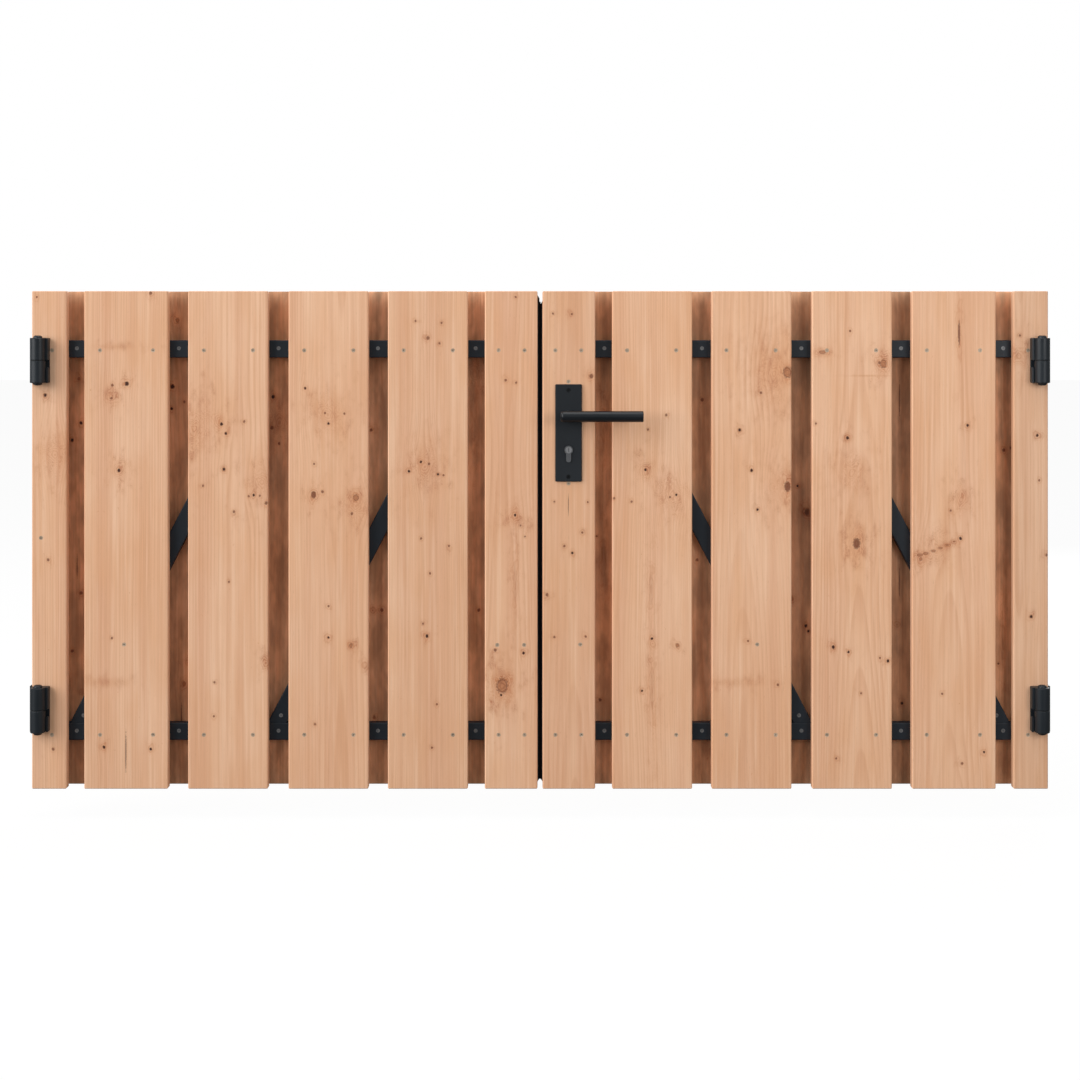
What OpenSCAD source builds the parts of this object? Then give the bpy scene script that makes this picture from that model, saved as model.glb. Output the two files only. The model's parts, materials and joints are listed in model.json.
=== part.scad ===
// Double garden gate: two boarded leaves on welded tube frames, lift-off hinges,
// a lever lock on the right leaf and a drop bolt behind the left one.
// Origin: middle of the gap between the leaves, mid-thickness, level with the
// boards' lower ends. +X to the right seen from the front, +Y to the back, +Z up.
// A leaf is drawn from its hinge edge (u = 0) to its closing edge (u = leaf_w).

/* [Leaves] */
// Width of one leaf over its boards
leaf_w = 1016; // [1006:1:1040]
// Height of the boards
leaf_h = 1000; // [960:1:1200]
// Gap between the boards of the two closed leaves
leaf_gap = 10; // [9:0.5:14]

/* [Boards] */
// Thickness of every board
board_t = 20; // [18:0.5:24]
// Width of the front board that carries the hinges
hinge_board_w = 70; // [64:1:78]
// Width of the front board at the closing edge
closing_board_w = 106; // [103:1:112]
// Second board from the hinge side, wider than the other full boards
wide_board_extra = 8; // [0:0.5:12]
// Gaps between the front boards, from the hinge side
front_gaps = [35, 40, 41, 39, 34];
// Rounding of the boards' edges
board_edge = 3; // [1:0.5:5]

/* [Frame] */
// Width of the frame tube, seen from the front
tube_w = 35; // [33:0.5:40]
// Depth of the frame tube
tube_t = 20; // [19.5:0.5:26]
// Wall of the frame tube
tube_wall = 2; // [1.5:0.1:2.4]
// Rounding of the tube's outer edges
tube_edge = 2; // [1:0.25:2.5]
// Set-back of the hinge stile from the hinge edge
hinge_stile_inset = 1; // [0.5:0.1:2]
// Projection of the closing stile past the boards
stile_proud = 4; // [3:0.1:4.4]
// Middle of the top rail below the boards' upper ends
top_rail_drop = 116.5; // [108:0.5:124]
// Middle of the bottom rail above the boards' lower ends
bottom_rail_rise = 111; // [105:0.5:120]
// Stile ends, plugs included, inside the boards' upper ends
stile_drop = 6; // [3:0.5:12]
// Stile ends, plugs included, inside the boards' lower ends
stile_rise = 8; // [5:0.5:14]
// Extra drop of the lock stile's upper end
lock_stile_drop = 12; // [0:1:20]
// Foot of each brace from the edge of the board beside it
brace_feet = [21, 15.5];
// Braces' upper ends behind the edge of the board that hides them
brace_head_in = 4.5; // [2:0.5:8]

/* [Plugs] */
// Height of the plastic plug's head
plug_head = 8; // [5:0.5:12]
// Slope of the plug's head at its sides
plug_slope = 5; // [2:0.5:8]
// Depth of the plug inside the tube
plug_depth = 14; // [8:1:20]

/* [Screws] */
// Shank of the countersunk screws
screw_d = 4; // [3.5:0.1:4.5]
// Head of the countersunk screws
screw_head_d = 8; // [7.6:0.1:8.4]
// Length of the screws that hold the front boards
front_screw_l = 27; // [25:0.5:29]
// Front screw nearest the hinge edge
hinge_board_screw = 40.5; // [40:0.5:44]
// Front screws from their board's edge nearest the hinges
screw_inset_a = 32; // [28:0.5:36]
// Front screws from their board's edge nearest the lock
screw_inset_b = 30; // [26:0.5:34]
// Front screws of the closing board from its two edges
closing_insets = [28, 26];
// Front screws below the middle of their rail
front_screw_drop = 2.5; // [0:0.5:4]
// Back screws above the middle of their rail
back_screw_rise = 1.5; // [0:0.5:4]
// Back screws from the middle of their gap
back_screw_shift = 2; // [0:0.5:6]
// Second back screw, hidden by a front board, from the one in the gap
back_screw_pitch = 35; // [33:0.5:37]
// Brace-foot screw above the bottom rail
foot_screw_rise = 15; // [12:0.5:20]
// Height of the screws that tie boards to a brace
brace_screw_z = 290; // [280:1:300]
// Height of the single screw in the left hinge board
stile_screw_z = 504; // [400:1:560]

/* [Hinges] */
// Diameter of the hinge knuckles
knuckle_d = 30; // [28:0.5:31]
// Knuckles from the hinge edge
knuckle_inset = 1.6; // [1:0.1:3]
// Bevel of the knuckles' ends
knuckle_bevel = 1.2; // [0.5:0.1:2]
// Height of a hinge
hinge_h = 90; // [84:1:100]
// Hinge axis in front of the boards
hinge_standoff = 16.5; // [16:0.1:19]
// Diameter of the hinge pins
pin_d = 18; // [14:0.5:19]
// Pin ends past the knuckles
pin_proud = 5; // [3:0.5:8]
// Upper hinge below the boards' upper ends
upper_hinge_drop = 94; // [80:1:110]
// Lower hinge above the boards' lower ends
lower_hinge_rise = 117; // [105:1:130]
// Inner edge of the plate on the hinge board
gate_plate_w = 36.5; // [36.2:0.1:39]
// Thickness of the hinge's flat plate on the board
gate_plate_t = 5; // [4:0.5:8]
// Height of the boss beside the lower knuckle
gate_boss_h = 31; // [24:1:40]
// Thickness of the plate for the post
post_plate_t = 3; // [2.5:0.1:4]
// Washer between the knuckles
washer_t = 1; // [0.5:0.1:2]
// Hinge bolts from the hinge edge
hinge_bolt_u = 31.2; // [31:0.1:31.3]
// Diameter of the hinge bolts
hinge_bolt_d = 5; // [4:0.5:5]
// Spacing of the two bolts of a hinge
hinge_bolt_pitch = 60; // [56:1:70]
// Holes for the post's screws
post_hole_d = 6.5; // [5:0.5:7]
// Spacing of the post's screws along the depth
post_hole_x = 30; // [24:1:34]
// Spacing of the post's screws along the height
post_hole_z = 60; // [50:1:66]

/* [Lock] */
// Lever axis from the closing edge of the boards
lock_backset = 52.4; // [51:0.2:54]
// Lever axis below the boards' upper ends
lever_drop = 250; // [244:1:260]
// Cylinder below the lever axis
cylinder_drop = 69; // [67:0.5:71]
// Width of the lock plates
plate_w = 53.5; // [50:0.5:56]
// Height of the lock plates
plate_h = 195.5; // [192:0.5:200]
// Lock plate above the lever axis
plate_above = 63; // [62:0.5:65]
// Thickness of the lock plates
plate_t = 4; // [3:0.5:5]
// Diameter of the lever's bar
lever_d = 22; // [20:0.5:23]
// Lever from its axis to its free end
lever_l = 148; // [120:1:156]
// Lever past its axis at the elbow
lever_back = 16; // [13:0.5:18]
// Lever's front past the boards
lever_proud = 55; // [50:1:62]
// Across flats of the square spindle
spindle_w = 8; // [7:0.5:9]
// Thickness of the lock case
case_t = 15; // [14.6:0.1:15.4]
// Length of the lock case behind its forend
case_l = 80; // [78:0.5:82]
// Lock case above the lever axis
case_above = 44; // [42:0.5:45]
// Lock case below the cylinder
case_below = 38; // [36:0.5:40]
// Wall of the lock case
case_wall = 1.5; // [1:0.1:1.7]
// Thickness of the forend and of the strike plate
forend_t = 3; // [2.5:0.1:3.5]
// Latch past the closing stile
latch_out = 11; // [9:0.5:11.5]
// Way of the dead bolt
dead_bolt_way = 20; // [18:0.5:22]
// Diameter of the lock cylinder's round part
cylinder_d = 17; // [16.5:0.1:17.5]
// Height of the lock cylinder
cylinder_h = 33; // [32:0.2:34]
// Width of the lock cylinder's web
cylinder_web = 10; // [9.5:0.1:10.5]
// Lock cylinder past each lock plate
cylinder_proud = 2; // [0.5:0.5:4]

/* [Drop bolt] */
// Diameter of the rod
rod_d = 14; // [12:0.5:15]
// Rod from the closing edge of the boards
rod_inset = 53.8; // [50:0.2:58]
// Length of the rod
rod_l = 440; // [420:5:480]
// Raised rod above the boards' lower ends
rod_rise = 30; // [10:1:40]
// Diameter of the rod's turned-down tip
rod_tip_d = 12; // [10:0.5:12]
// Height of the tip
rod_tip_h = 20; // [14:1:21]
// Way of the rod
rod_way = 80; // [60:1:84]
// Height of the upper guide's middle
upper_guide_z = 289; // [280:1:298]
// Height of the lower guide's middle
lower_guide_z = 68; // [62:1:70]
// Height of a guide
guide_h = 30; // [26:1:34]
// Width of a guide's plate
guide_w = 74; // [70:1:80]
// Thickness of a guide's plate
guide_t = 4; // [3:0.5:5]
// Spacing of a guide's screws
guide_pitch = 54; // [50:0.5:56]
// Length of the rod's bent handle
handle_l = 70; // [50:1:90]

/* [Hidden] */

$fn = 48;
// Gap between parts that move past each other
slide_gap = 0.3;
// Radial running clearance
run_gap = 0.1;
// Radial clearance round a fixed pin or screw
fit_gap = 0.05;
// Play of the leaf's edge beside the post plate
post_gap = 0.5;
over = 0.1;
// Ends of long screws short of the surface behind them
screw_cover = 3;
// Hexagonal recess of a screw's head
recess_w = 0.42;
recess_h = 1.4;

half_w = leaf_gap / 2 + leaf_w;
board_front = -tube_t / 2 - board_t;
board_back = -board_front;
front_count = len(front_gaps) + 1;
back_count = len(front_gaps);
// The full boards, front and back, share what is left of the leaf's width
narrow_w = hinge_board_w + closing_board_w;
wide_board = 1;
board_w = (leaf_w - narrow_w - wide_board_extra - front_gaps * [1, 1, 1, 1, 1]) / (front_count - 2);
top_rail_z = leaf_h - top_rail_drop;
bottom_rail_z = bottom_rail_rise;
rail_zs = [bottom_rail_z, top_rail_z];
brace_z0 = bottom_rail_z + tube_w / 2;
brace_z1 = top_rail_z - tube_w / 2;
// Front boards whose edges set the braces' feet and heads
foot_boards = [0, 2];
head_boards = [2, 4];
brace_run = front_end(head_boards[1]) - front_end(foot_boards[1]) - brace_feet[1];
brace_tilt = atan2(brace_run, brace_z1 - brace_z0);
brace_screw_in = 10;
stile_in = hinge_stile_inset + tube_w;
stile_out = leaf_w + stile_proud;
closing_in = stile_out - tube_w;
tube_in = tube_t / 2 - tube_wall;
stile_z0 = stile_rise + plug_head;
stile_z1 = leaf_h - stile_drop - plug_head;

axis_u = knuckle_inset + knuckle_d / 2;
axis_y = board_front - hinge_standoff;
upper_hinge_z = leaf_h - upper_hinge_drop - hinge_h;
lower_hinge_z = lower_hinge_rise;
hinge_zs = [lower_hinge_z, upper_hinge_z];
knuckle_h = (hinge_h - washer_t) / 2;
// The gate's plate reaches under the post's knuckle, its boss stands beside it
gate_plate_u = axis_u + 10.4;
gate_boss_u = knuckle_inset + knuckle_d + 0.5;
gate_boss_y = axis_y + 1.5;
post_front = axis_y + knuckle_d / 2;
post_hole_y = 3;
dome_d = 10;
dome_h = 3.5;
hinge_edge = 2;
sink_h = 2;
sink_d = post_hole_d + 2 * sink_h;

lock_u = leaf_w - lock_backset;
lever_z = leaf_h - lever_drop;
cyl_z = lever_z - cylinder_drop;
cyl_r = cylinder_d / 2;
cyl_end = board_back + plate_t + cylinder_proud;
web_drop = cylinder_h - cyl_r - cylinder_web / 2;
plug_r = cyl_r - 2;
cam_r = 7.8;
cam_nose_r = 15;
cam_nose_w = 6;
cam_t = 9.6;
cam_start = 60;
key_slot = [1.8, 14, 8];
plug_sink = 0.4;
case_u1 = stile_out - forend_t;
case_u0 = case_u1 - case_l;
case_z0 = cyl_z - case_below;
case_z1 = lever_z + case_above;
case_in = case_t / 2 - case_wall;
move_t = 2 * (case_in - slide_gap);
box_u0 = case_u0 - 6;
forend_z0 = case_z0 - 13;
forend_z1 = case_z1 + 12;
lug_l = 16;
lug_h = 10;
plate_edge = 1.2;
plate_corner = 2.5;
plate_z1 = lever_z + plate_above;
plate_z0 = plate_z1 - plate_h;
plate_y = board_front - plate_t;
plate_screw_zs = [plate_z0 + 9.5, plate_z1 - 12.5];
plate_screw_d = 5;
plate_head_d = 9;
plate_screw_l = 2 * (board_back + plate_t) - 1;
box_z0 = plate_z0 - 12.5;
box_z1 = plate_z1 + 13;
box_screw_zs = [plate_z0 - 4, plate_z1 + 5];
follower_r = 11;
follower_hub_r = 9;
arm_r = 17.5;
arm_w = 6;
latch_z0 = lever_z + 10;
latch_h = 16;
latch_head_l = 17;
tail_h = 6;
hook_z = lever_z + 12.5;
hook_l = 6;
hook_u = lock_u - arm_w / 2 - 0.5;
bolt_z0 = cyl_z + 19;
bolt_h = 22;
bolt_back = 32;
bolt_rest = 0.5;
bolt_tail_h = 8;
fork_u = lock_u - dead_bolt_way / 2;
fork_gap = 12;
finger_w = 4;
finger_h = 10;
cyl_screw_z = cyl_z - 17;
cyl_screw_l = lock_backset + stile_proud + 3;
edge_screw_in = 6;
strike_z0 = bolt_z0 - 16;
strike_z1 = latch_z0 + latch_h + 16;
strike_screw_zs = [strike_z0 + edge_screw_in, strike_z1 - edge_screw_in];
forend_screw_zs = [forend_z0 + edge_screw_in, forend_z1 - edge_screw_in];
strike_play = 0.8;
lever_axis_y = board_front - lever_proud + lever_d / 2;
journal_r = 9;
collar_d = 24;
collar_t = 5;
neck_r = lever_d / 2 - 0.5;
spindle_end = board_back + plate_t + 28;

rod_u = leaf_w - rod_inset;
guide_r = rod_d / 2 + 4;
rod_y = board_back + guide_t + guide_r;
guide_zs = [lower_guide_z, upper_guide_z];
collar_z = upper_guide_z + guide_h / 2 + rod_way + slide_gap;
rod_collar_h = 8;
rod_collar_r = rod_d / 2 + 3;
rod_tip_bevel = 1.5;
guide_corner = 4;

wood = [0.87, 0.67, 0.51];
black_steel = [0.14, 0.16, 0.17];
grey_steel = [0.62, 0.64, 0.65];
bright_steel = [0.78, 0.79, 0.80];
brass = [0.72, 0.60, 0.35];
black_plastic = [0.08, 0.08, 0.09];

// Layout of the boards and screws

function front_width(i) =
    i == 0 ? hinge_board_w
    : i == wide_board ? board_w + wide_board_extra
    : i < front_count - 1 ? board_w
    : leaf_w - front_start(i);
function front_start(i) = i == 0 ? 0 : front_end(i - 1) + front_gaps[i - 1];
function front_end(i) = front_start(i) + front_width(i);
function gap_middle(i) = front_end(i) + front_gaps[i] / 2;
function back_start(i) =
    i == 0 ? 0
    : i == back_count - 1 ? leaf_w - board_w
    : gap_middle(i) - board_w / 2;
function brace_u(i, z) =
    front_end(foot_boards[i]) + brace_feet[i] + (z - brace_z0) * tan(brace_tilt);

// A screw is [u, z, length]; side is -1 on the left leaf and 1 on the right one
function board_screws(i) =
    i == 0 ? [hinge_board_screw]
    : i < front_count - 1 ? [front_start(i) + screw_inset_a, front_end(i) - screw_inset_b]
    : [front_start(i) + closing_insets[0], front_end(i) - closing_insets[1]];
rail_screws = [
    for (i = [0:front_count - 1], u = board_screws(i), z = rail_zs)
        [u, z - front_screw_drop, front_screw_l]
];
left_screws = [
    [hinge_stile_inset + tube_w / 2, stile_screw_z, front_screw_l],
    [brace_u(0, brace_screw_z) + brace_screw_in, brace_screw_z, front_screw_l],
    [rod_u - guide_pitch / 2, upper_guide_z, board_back + guide_t - board_front],
    [rod_u + guide_pitch / 2, upper_guide_z, board_back + guide_t - board_front]
];
lock_board_screw_u = front_start(front_count - 1) + screw_inset_a - 2;
right_screws = [
    [brace_u(1, brace_screw_z) + brace_screw_in, brace_screw_z, front_screw_l],
    [lock_board_screw_u, brace_screw_z, board_back - board_front - 2 * screw_cover],
    [lock_u, box_screw_zs[0], front_screw_l],
    [lock_u, box_screw_zs[1], front_screw_l]
];
function front_screws(side) = concat(rail_screws, side < 0 ? left_screws : right_screws);
back_screws = concat(
    [
        for (i = [0:back_count - 1], step = [0, back_screw_pitch], z = rail_zs)
            [gap_middle(i) - back_screw_shift + step, z + back_screw_rise]
    ],
    [for (i = [0, 1]) [brace_u(i, brace_z0 + foot_screw_rise), brace_z0 + foot_screw_rise]]
);
back_screw_l = tube_t + board_t - screw_cover;
guide_screw_l = guide_t + board_t - screw_cover;

// Basic shapes

module place(side) {
    if (side < 0) {
        translate([-half_w, 0, 0]) children();
    } else {
        mirror([1, 0, 0]) translate([-half_w, 0, 0]) children();
    }
}

module rounded(w, h, r) {
    square([w - 2 * r, h], center = true);
    square([w, h - 2 * r], center = true);
    for (x = [-1, 1], y = [-1, 1])
        translate([x * (w / 2 - r), y * (h / 2 - r)]) circle(r);
}

// Block from one corner to the other
module block(low, high) {
    translate(low) cube(high - low);
}

// Plate lying in X and Z, from y0 towards +Y
module upright(u, z, w, h, r, y0, t) {
    translate([u, y0 + t, z]) rotate([90, 0, 0]) linear_extrude(t) rounded(w, h, r);
}

module rod_along_y(u, z, r, y0, y1) {
    translate([u, y0, z]) rotate([-90, 0, 0]) cylinder(r = r, h = y1 - y0);
}

// Countersunk screw with its head's face at the origin, pointing along +Z
module screw_form(length, head_d, shank_d, gap) {
    cone = (head_d - shank_d) / 2;
    rotate_extrude()
        polygon([
            [0, -gap],
            [head_d / 2 + gap, -gap],
            [head_d / 2 + gap, 0],
            [shank_d / 2 + gap, cone],
            [shank_d / 2 + gap, length + gap],
            [0, length + gap]
        ]);
}

module screw(length, head_d = screw_head_d, shank_d = screw_d) {
    difference() {
        screw_form(length, head_d, shank_d, 0);
        translate([0, 0, -over]) cylinder(d = recess_w * head_d, h = recess_h + over, $fn = 6);
    }
}

module screw_hole(length, head_d = screw_head_d, shank_d = screw_d) {
    screw_form(length, head_d, shank_d, fit_gap);
}

module facing_back(u, y, z) {
    translate([u, y, z]) rotate([-90, 0, 0]) children();
}

module front_screw_holes(side, u0, u1, z0 = 0, z1 = leaf_h) {
    for (s = front_screws(side))
        if (s[0] > u0 && s[0] < u1 && s[1] > z0 && s[1] < z1)
            facing_back(s[0], board_front, s[1]) screw_hole(s[2]);
}

module back_screw_holes(u0, u1, z0 = 0, z1 = leaf_h) {
    for (s = back_screws)
        if (s[0] > u0 && s[0] < u1 && s[1] > z0 && s[1] < z1)
            facing_back(s[0], -tube_t / 2, s[1]) screw_hole(back_screw_l);
}

module hinge_bolt_holes() {
    for (z = hinge_zs, s = [-1, 1])
        rod_along_y(
            hinge_bolt_u,
            z + hinge_h / 2 + s * hinge_bolt_pitch / 2,
            hinge_bolt_d / 2 + fit_gap,
            board_front - gate_plate_t + over,
            board_back + over
        );
}

// Boards

module board(start, width, y) {
    middle = start + width / 2;
    intersection() {
        translate([middle, y, 0]) linear_extrude(leaf_h) rounded(width, board_t, board_edge);
        upright(middle, leaf_h / 2, width, leaf_h, board_edge, y - board_t / 2, board_t);
        translate([start, y, leaf_h / 2])
            rotate([90, 0, 90])
                linear_extrude(width) rounded(board_t, leaf_h, board_edge / 2);
    }
}

module front_board(side, i) {
    start = front_start(i);
    color(wood)
        place(side)
            difference() {
                board(start, front_width(i), board_front + board_t / 2);
                front_screw_holes(side, start, front_end(i));
                if (i == 0) hinge_bolt_holes();
                if (side > 0 && i == front_count - 1) lock_cuts(board_front - over, -tube_t / 2 + over);
            }
}

module back_board(side, i) {
    start = back_start(i);
    color(wood)
        place(side)
            difference() {
                board(start, board_w, board_back - board_t / 2);
                back_screw_holes(start, start + board_w);
                long_screw_holes(side, start, start + board_w);
                if (i == 0) hinge_bolt_holes();
                if (side > 0 && i == back_count - 1) lock_cuts(tube_t / 2 - over, board_back + over);
                if (side < 0 && i == back_count - 1) guide_screw_holes();
            }
}

// Only screws longer than the frame reach the back boards
module long_screw_holes(side, u0, u1) {
    for (s = front_screws(side))
        if (s[0] > u0 && s[0] < u1 && s[2] > board_t + tube_t)
            facing_back(s[0], board_front, s[1]) screw_hole(s[2]);
}

// Frame

module tube_profile() {
    difference() {
        rounded(tube_w, tube_t, tube_edge);
        square([tube_w - 2 * tube_wall, tube_t - 2 * tube_wall], center = true);
    }
}

module rails(side) {
    color(black_steel)
        place(side)
            for (z = rail_zs)
                difference() {
                    translate([stile_in, 0, z])
                        rotate([0, 90, 0]) linear_extrude(closing_in - stile_in) tube_profile();
                    front_screw_holes(side, stile_in, closing_in, z - tube_w / 2, z + tube_w / 2);
                    back_screw_holes(stile_in, closing_in, z - tube_w / 2, z + tube_w / 2);
                }
}

module stile(u0, z0, z1) {
    translate([u0 + tube_w / 2, 0, z0]) linear_extrude(z1 - z0) tube_profile();
}

function closing_z1(side) = side < 0 ? stile_z1 : stile_z1 - lock_stile_drop;

module hinge_stile(side) {
    color(black_steel)
        place(side)
            difference() {
                stile(hinge_stile_inset, stile_z0, stile_z1);
                front_screw_holes(side, hinge_stile_inset, stile_in);
                hinge_bolt_holes();
            }
}

module left_stile() {
    color(black_steel)
        place(-1)
            difference() {
                union() {
                    stile(closing_in, stile_z0, stile_z1);
                    for (z = strike_screw_zs) stile_lug(z);
                }
                front_screw_holes(-1, closing_in, stile_out);
                plate_slot(strike_z0, strike_z1);
                for (z = strike_screw_zs) edge_screw_hole(z);
            }
}

// The lock's box is welded to the stile beside it
module right_stile() {
    color(black_steel)
        place(1)
            difference() {
                union() {
                    stile(closing_in, stile_z0, closing_z1(1));
                    for (z = forend_screw_zs) stile_lug(z);
                    difference() {
                        block([box_u0, -tube_t / 2, box_z0], [closing_in + over, tube_t / 2, box_z1]);
                        block(
                            [box_u0 + tube_wall, -tube_in, box_z0 + tube_wall],
                            [closing_in + 2 * over, tube_in, box_z1 - tube_wall]
                        );
                    }
                }
                front_screw_holes(1, box_u0, stile_out);
                plate_slot(forend_z0, forend_z1);
                block(
                    [closing_in - over, -case_t / 2 - run_gap, case_z0 - run_gap],
                    [case_u1 + over, case_t / 2 + run_gap, case_z1 + run_gap]
                );
                for (z = forend_screw_zs) edge_screw_hole(z);
                lock_cuts(-tube_t / 2 - over, tube_t / 2 + over);
            }
}

// Slot in the stile's outer wall that takes the forend or the strike plate
module plate_slot(z0, z1) {
    block(
        [stile_out - forend_t, -case_t / 2 - run_gap, z0 - run_gap],
        [stile_out + over, case_t / 2 + run_gap, z1 + run_gap]
    );
}

// Threaded lug inside the stile, behind the forend or the strike plate
module stile_lug(z) {
    block(
        [stile_out - forend_t - lug_l, -tube_in - over, z - lug_h / 2],
        [stile_out - forend_t, tube_in + over, z + lug_h / 2]
    );
}

module edge_screw_hole(z) {
    translate([stile_out, 0, z]) rotate([0, -90, 0]) screw_hole(lug_l);
}

module edge_screw(z) {
    translate([stile_out, 0, z]) rotate([0, -90, 0]) screw(lug_l);
}

module braces(side) {
    color(black_steel)
        place(side)
            for (i = [0, 1])
                difference() {
                    intersection() {
                        translate([brace_u(i, brace_z0), 0, brace_z0])
                            rotate([0, brace_tilt, 0])
                                translate([0, 0, -tube_w])
                                    linear_extrude((brace_z1 - brace_z0) / cos(brace_tilt) + 2 * tube_w)
                                        tube_profile();
                        block(
                            [stile_in, -tube_t, brace_z0],
                            [front_end(head_boards[i]) - brace_head_in, tube_t, brace_z1]
                        );
                    }
                    front_screw_holes(
                        side,
                        brace_u(i, brace_screw_z),
                        brace_u(i, brace_screw_z) + tube_w / 2,
                        brace_screw_z - 2,
                        brace_screw_z + 2
                    );
                    back_screw_holes(
                        brace_u(i, brace_z0),
                        brace_u(i, brace_z0) + tube_w,
                        brace_z0,
                        brace_z0 + 2 * foot_screw_rise
                    );
                }
}

// Plastic plug with its head upwards
module plug() {
    insert_w = tube_w - 2 * tube_wall - 2 * fit_gap;
    insert_t = tube_t - 2 * tube_wall - 2 * fit_gap;
    translate([0, tube_t / 2, 0])
        rotate([90, 0, 0])
            linear_extrude(tube_t)
                polygon([
                    [-tube_w / 2, 0],
                    [tube_w / 2, 0],
                    [tube_w / 2 - plug_slope, plug_head],
                    [-tube_w / 2 + plug_slope, plug_head]
                ]);
    translate([-insert_w / 2, -insert_t / 2, -plug_depth]) cube([insert_w, insert_t, plug_depth]);
}

module plugs(side) {
    color(black_plastic)
        place(side)
            for (u = [hinge_stile_inset, closing_in]) {
                top = u == closing_in ? closing_z1(side) : stile_z1;
                translate([u + tube_w / 2, 0, top]) plug();
                translate([u + tube_w / 2, 0, stile_z0]) mirror([0, 0, 1]) plug();
            }
}

// Fasteners

module front_screw_set(side) {
    color(grey_steel)
        place(side) {
            for (s = front_screws(side)) facing_back(s[0], board_front, s[1]) screw(s[2]);
            if (side < 0)
                for (z = strike_screw_zs) edge_screw(z);
        }
}

module back_screw_set(side) {
    color(grey_steel)
        place(side) {
            for (s = back_screws) facing_back(s[0], -tube_t / 2, s[1]) screw(back_screw_l);
            if (side < 0) guide_screws();
        }
}

// Dome-headed bolts from the back into the hinges' plates
module hinge_bolts(side) {
    color(black_steel)
        place(side)
            for (z = hinge_zs, s = [-1, 1])
                translate([hinge_bolt_u, board_back, z + hinge_h / 2 + s * hinge_bolt_pitch / 2])
                    rotate([90, 0, 0]) {
                        cylinder(d = hinge_bolt_d, h = board_back - board_front + gate_plate_t - 1);
                        dome_head();
                    }
}

module dome_head() {
    ball_r = (dome_d * dome_d / 4 + dome_h * dome_h) / (2 * dome_h);
    difference() {
        translate([0, 0, ball_r - dome_h]) sphere(ball_r);
        cylinder(r = 2 * ball_r, h = 3 * ball_r);
    }
}

// Hinges, drawn from the foot of the hinge

module knuckle(z) {
    translate([axis_u, axis_y, z])
        rotate_extrude()
            polygon([
                [0, 0],
                [knuckle_d / 2 - knuckle_bevel, 0],
                [knuckle_d / 2, knuckle_bevel],
                [knuckle_d / 2, knuckle_h - knuckle_bevel],
                [knuckle_d / 2 - knuckle_bevel, knuckle_h],
                [0, knuckle_h]
            ]);
}

// Block of the gate's half, from u0 to the plate's inner edge
module gate_block(u0, z0, h, y0) {
    upright(
        (u0 + gate_plate_w) / 2,
        z0 + h / 2,
        gate_plate_w - u0,
        h,
        hinge_edge,
        y0,
        board_front - y0
    );
}

module gate_hinge() {
    difference() {
        union() {
            knuckle(hinge_h - knuckle_h);
            gate_block(axis_u, hinge_h - knuckle_h, knuckle_h, axis_y);
            gate_block(gate_plate_u, 0, hinge_h, board_front - gate_plate_t);
            gate_block(gate_boss_u, 0, gate_boss_h, gate_boss_y);
        }
        translate([axis_u, axis_y, -over]) cylinder(d = pin_d + 2 * run_gap, h = hinge_h + 2 * over);
        for (s = [-1, 1])
            rod_along_y(
                hinge_bolt_u,
                hinge_h / 2 + s * hinge_bolt_pitch / 2,
                hinge_bolt_d / 2 + fit_gap,
                board_front - gate_plate_t + over,
                board_front + over
            );
    }
}

module post_hinge() {
    plate_u = -post_gap - post_plate_t;
    // The curl that joins the plate to the knuckle starts here
    gap_y = post_front - 0.2;
    difference() {
        union() {
            knuckle(0);
            translate([plate_u, gap_y, 0]) cube([post_plate_t, board_back - gap_y, hinge_h]);
            linear_extrude(knuckle_h)
                polygon([
                    [plate_u, gap_y + 3],
                    [plate_u, gap_y],
                    [plate_u + 2, gap_y - 6.5],
                    [knuckle_inset + 0.05 * knuckle_d, axis_y + 2],
                    [axis_u, axis_y + 6],
                    [axis_u - 3.5, gap_y],
                    [-post_gap, gap_y],
                    [-post_gap, gap_y + 3]
                ]);
        }
        translate([axis_u, axis_y, -over]) cylinder(d = pin_d + 2 * fit_gap, h = hinge_h);
        for (y = [-1, 1], z = [-1, 1])
            translate([-post_gap, post_hole_y + y * post_hole_x / 2, hinge_h / 2 + z * post_hole_z / 2])
                rotate([0, -90, 0]) {
                    translate([0, 0, -over]) cylinder(d = post_hole_d, h = post_plate_t + 2 * over);
                    translate([0, 0, -over])
                        cylinder(d1 = sink_d, d2 = post_hole_d, h = sink_h + over);
                }
    }
}

module gate_hinges(side) {
    color(black_steel)
        place(side)
            for (z = hinge_zs) translate([0, 0, z]) gate_hinge();
}

module post_hinges(side) {
    color(black_steel)
        place(side)
            for (z = hinge_zs) translate([0, 0, z]) post_hinge();
}

module hinge_pins() {
    pin_l = hinge_h + 2 * pin_proud;
    r = pin_d / 2;
    color(black_steel)
        for (side = [-1, 1])
            place(side)
                for (z = hinge_zs)
                    translate([axis_u, axis_y, z - pin_proud])
                        rotate_extrude()
                            polygon([
                                [0, 0],
                                [0.55 * r, 0],
                                [0.82 * r, 0.2 * pin_proud],
                                [0.96 * r, 0.5 * pin_proud],
                                [r, 0.9 * pin_proud],
                                [r, pin_l - 0.9 * pin_proud],
                                [0.96 * r, pin_l - 0.5 * pin_proud],
                                [0.82 * r, pin_l - 0.2 * pin_proud],
                                [0.55 * r, pin_l],
                                [0, pin_l]
                            ]);
}

module hinge_washers() {
    color(black_plastic)
        for (side = [-1, 1])
            place(side)
                for (z = hinge_zs)
                    translate([axis_u, axis_y, z + knuckle_h])
                        difference() {
                            cylinder(d = knuckle_d - 3, h = washer_t);
                            translate([0, 0, -over])
                                cylinder(d = pin_d + 2 * fit_gap, h = washer_t + 2 * over);
                        }
}

// Lock, drawn in the leaf's own measure: the closing edge lies towards +u

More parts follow.
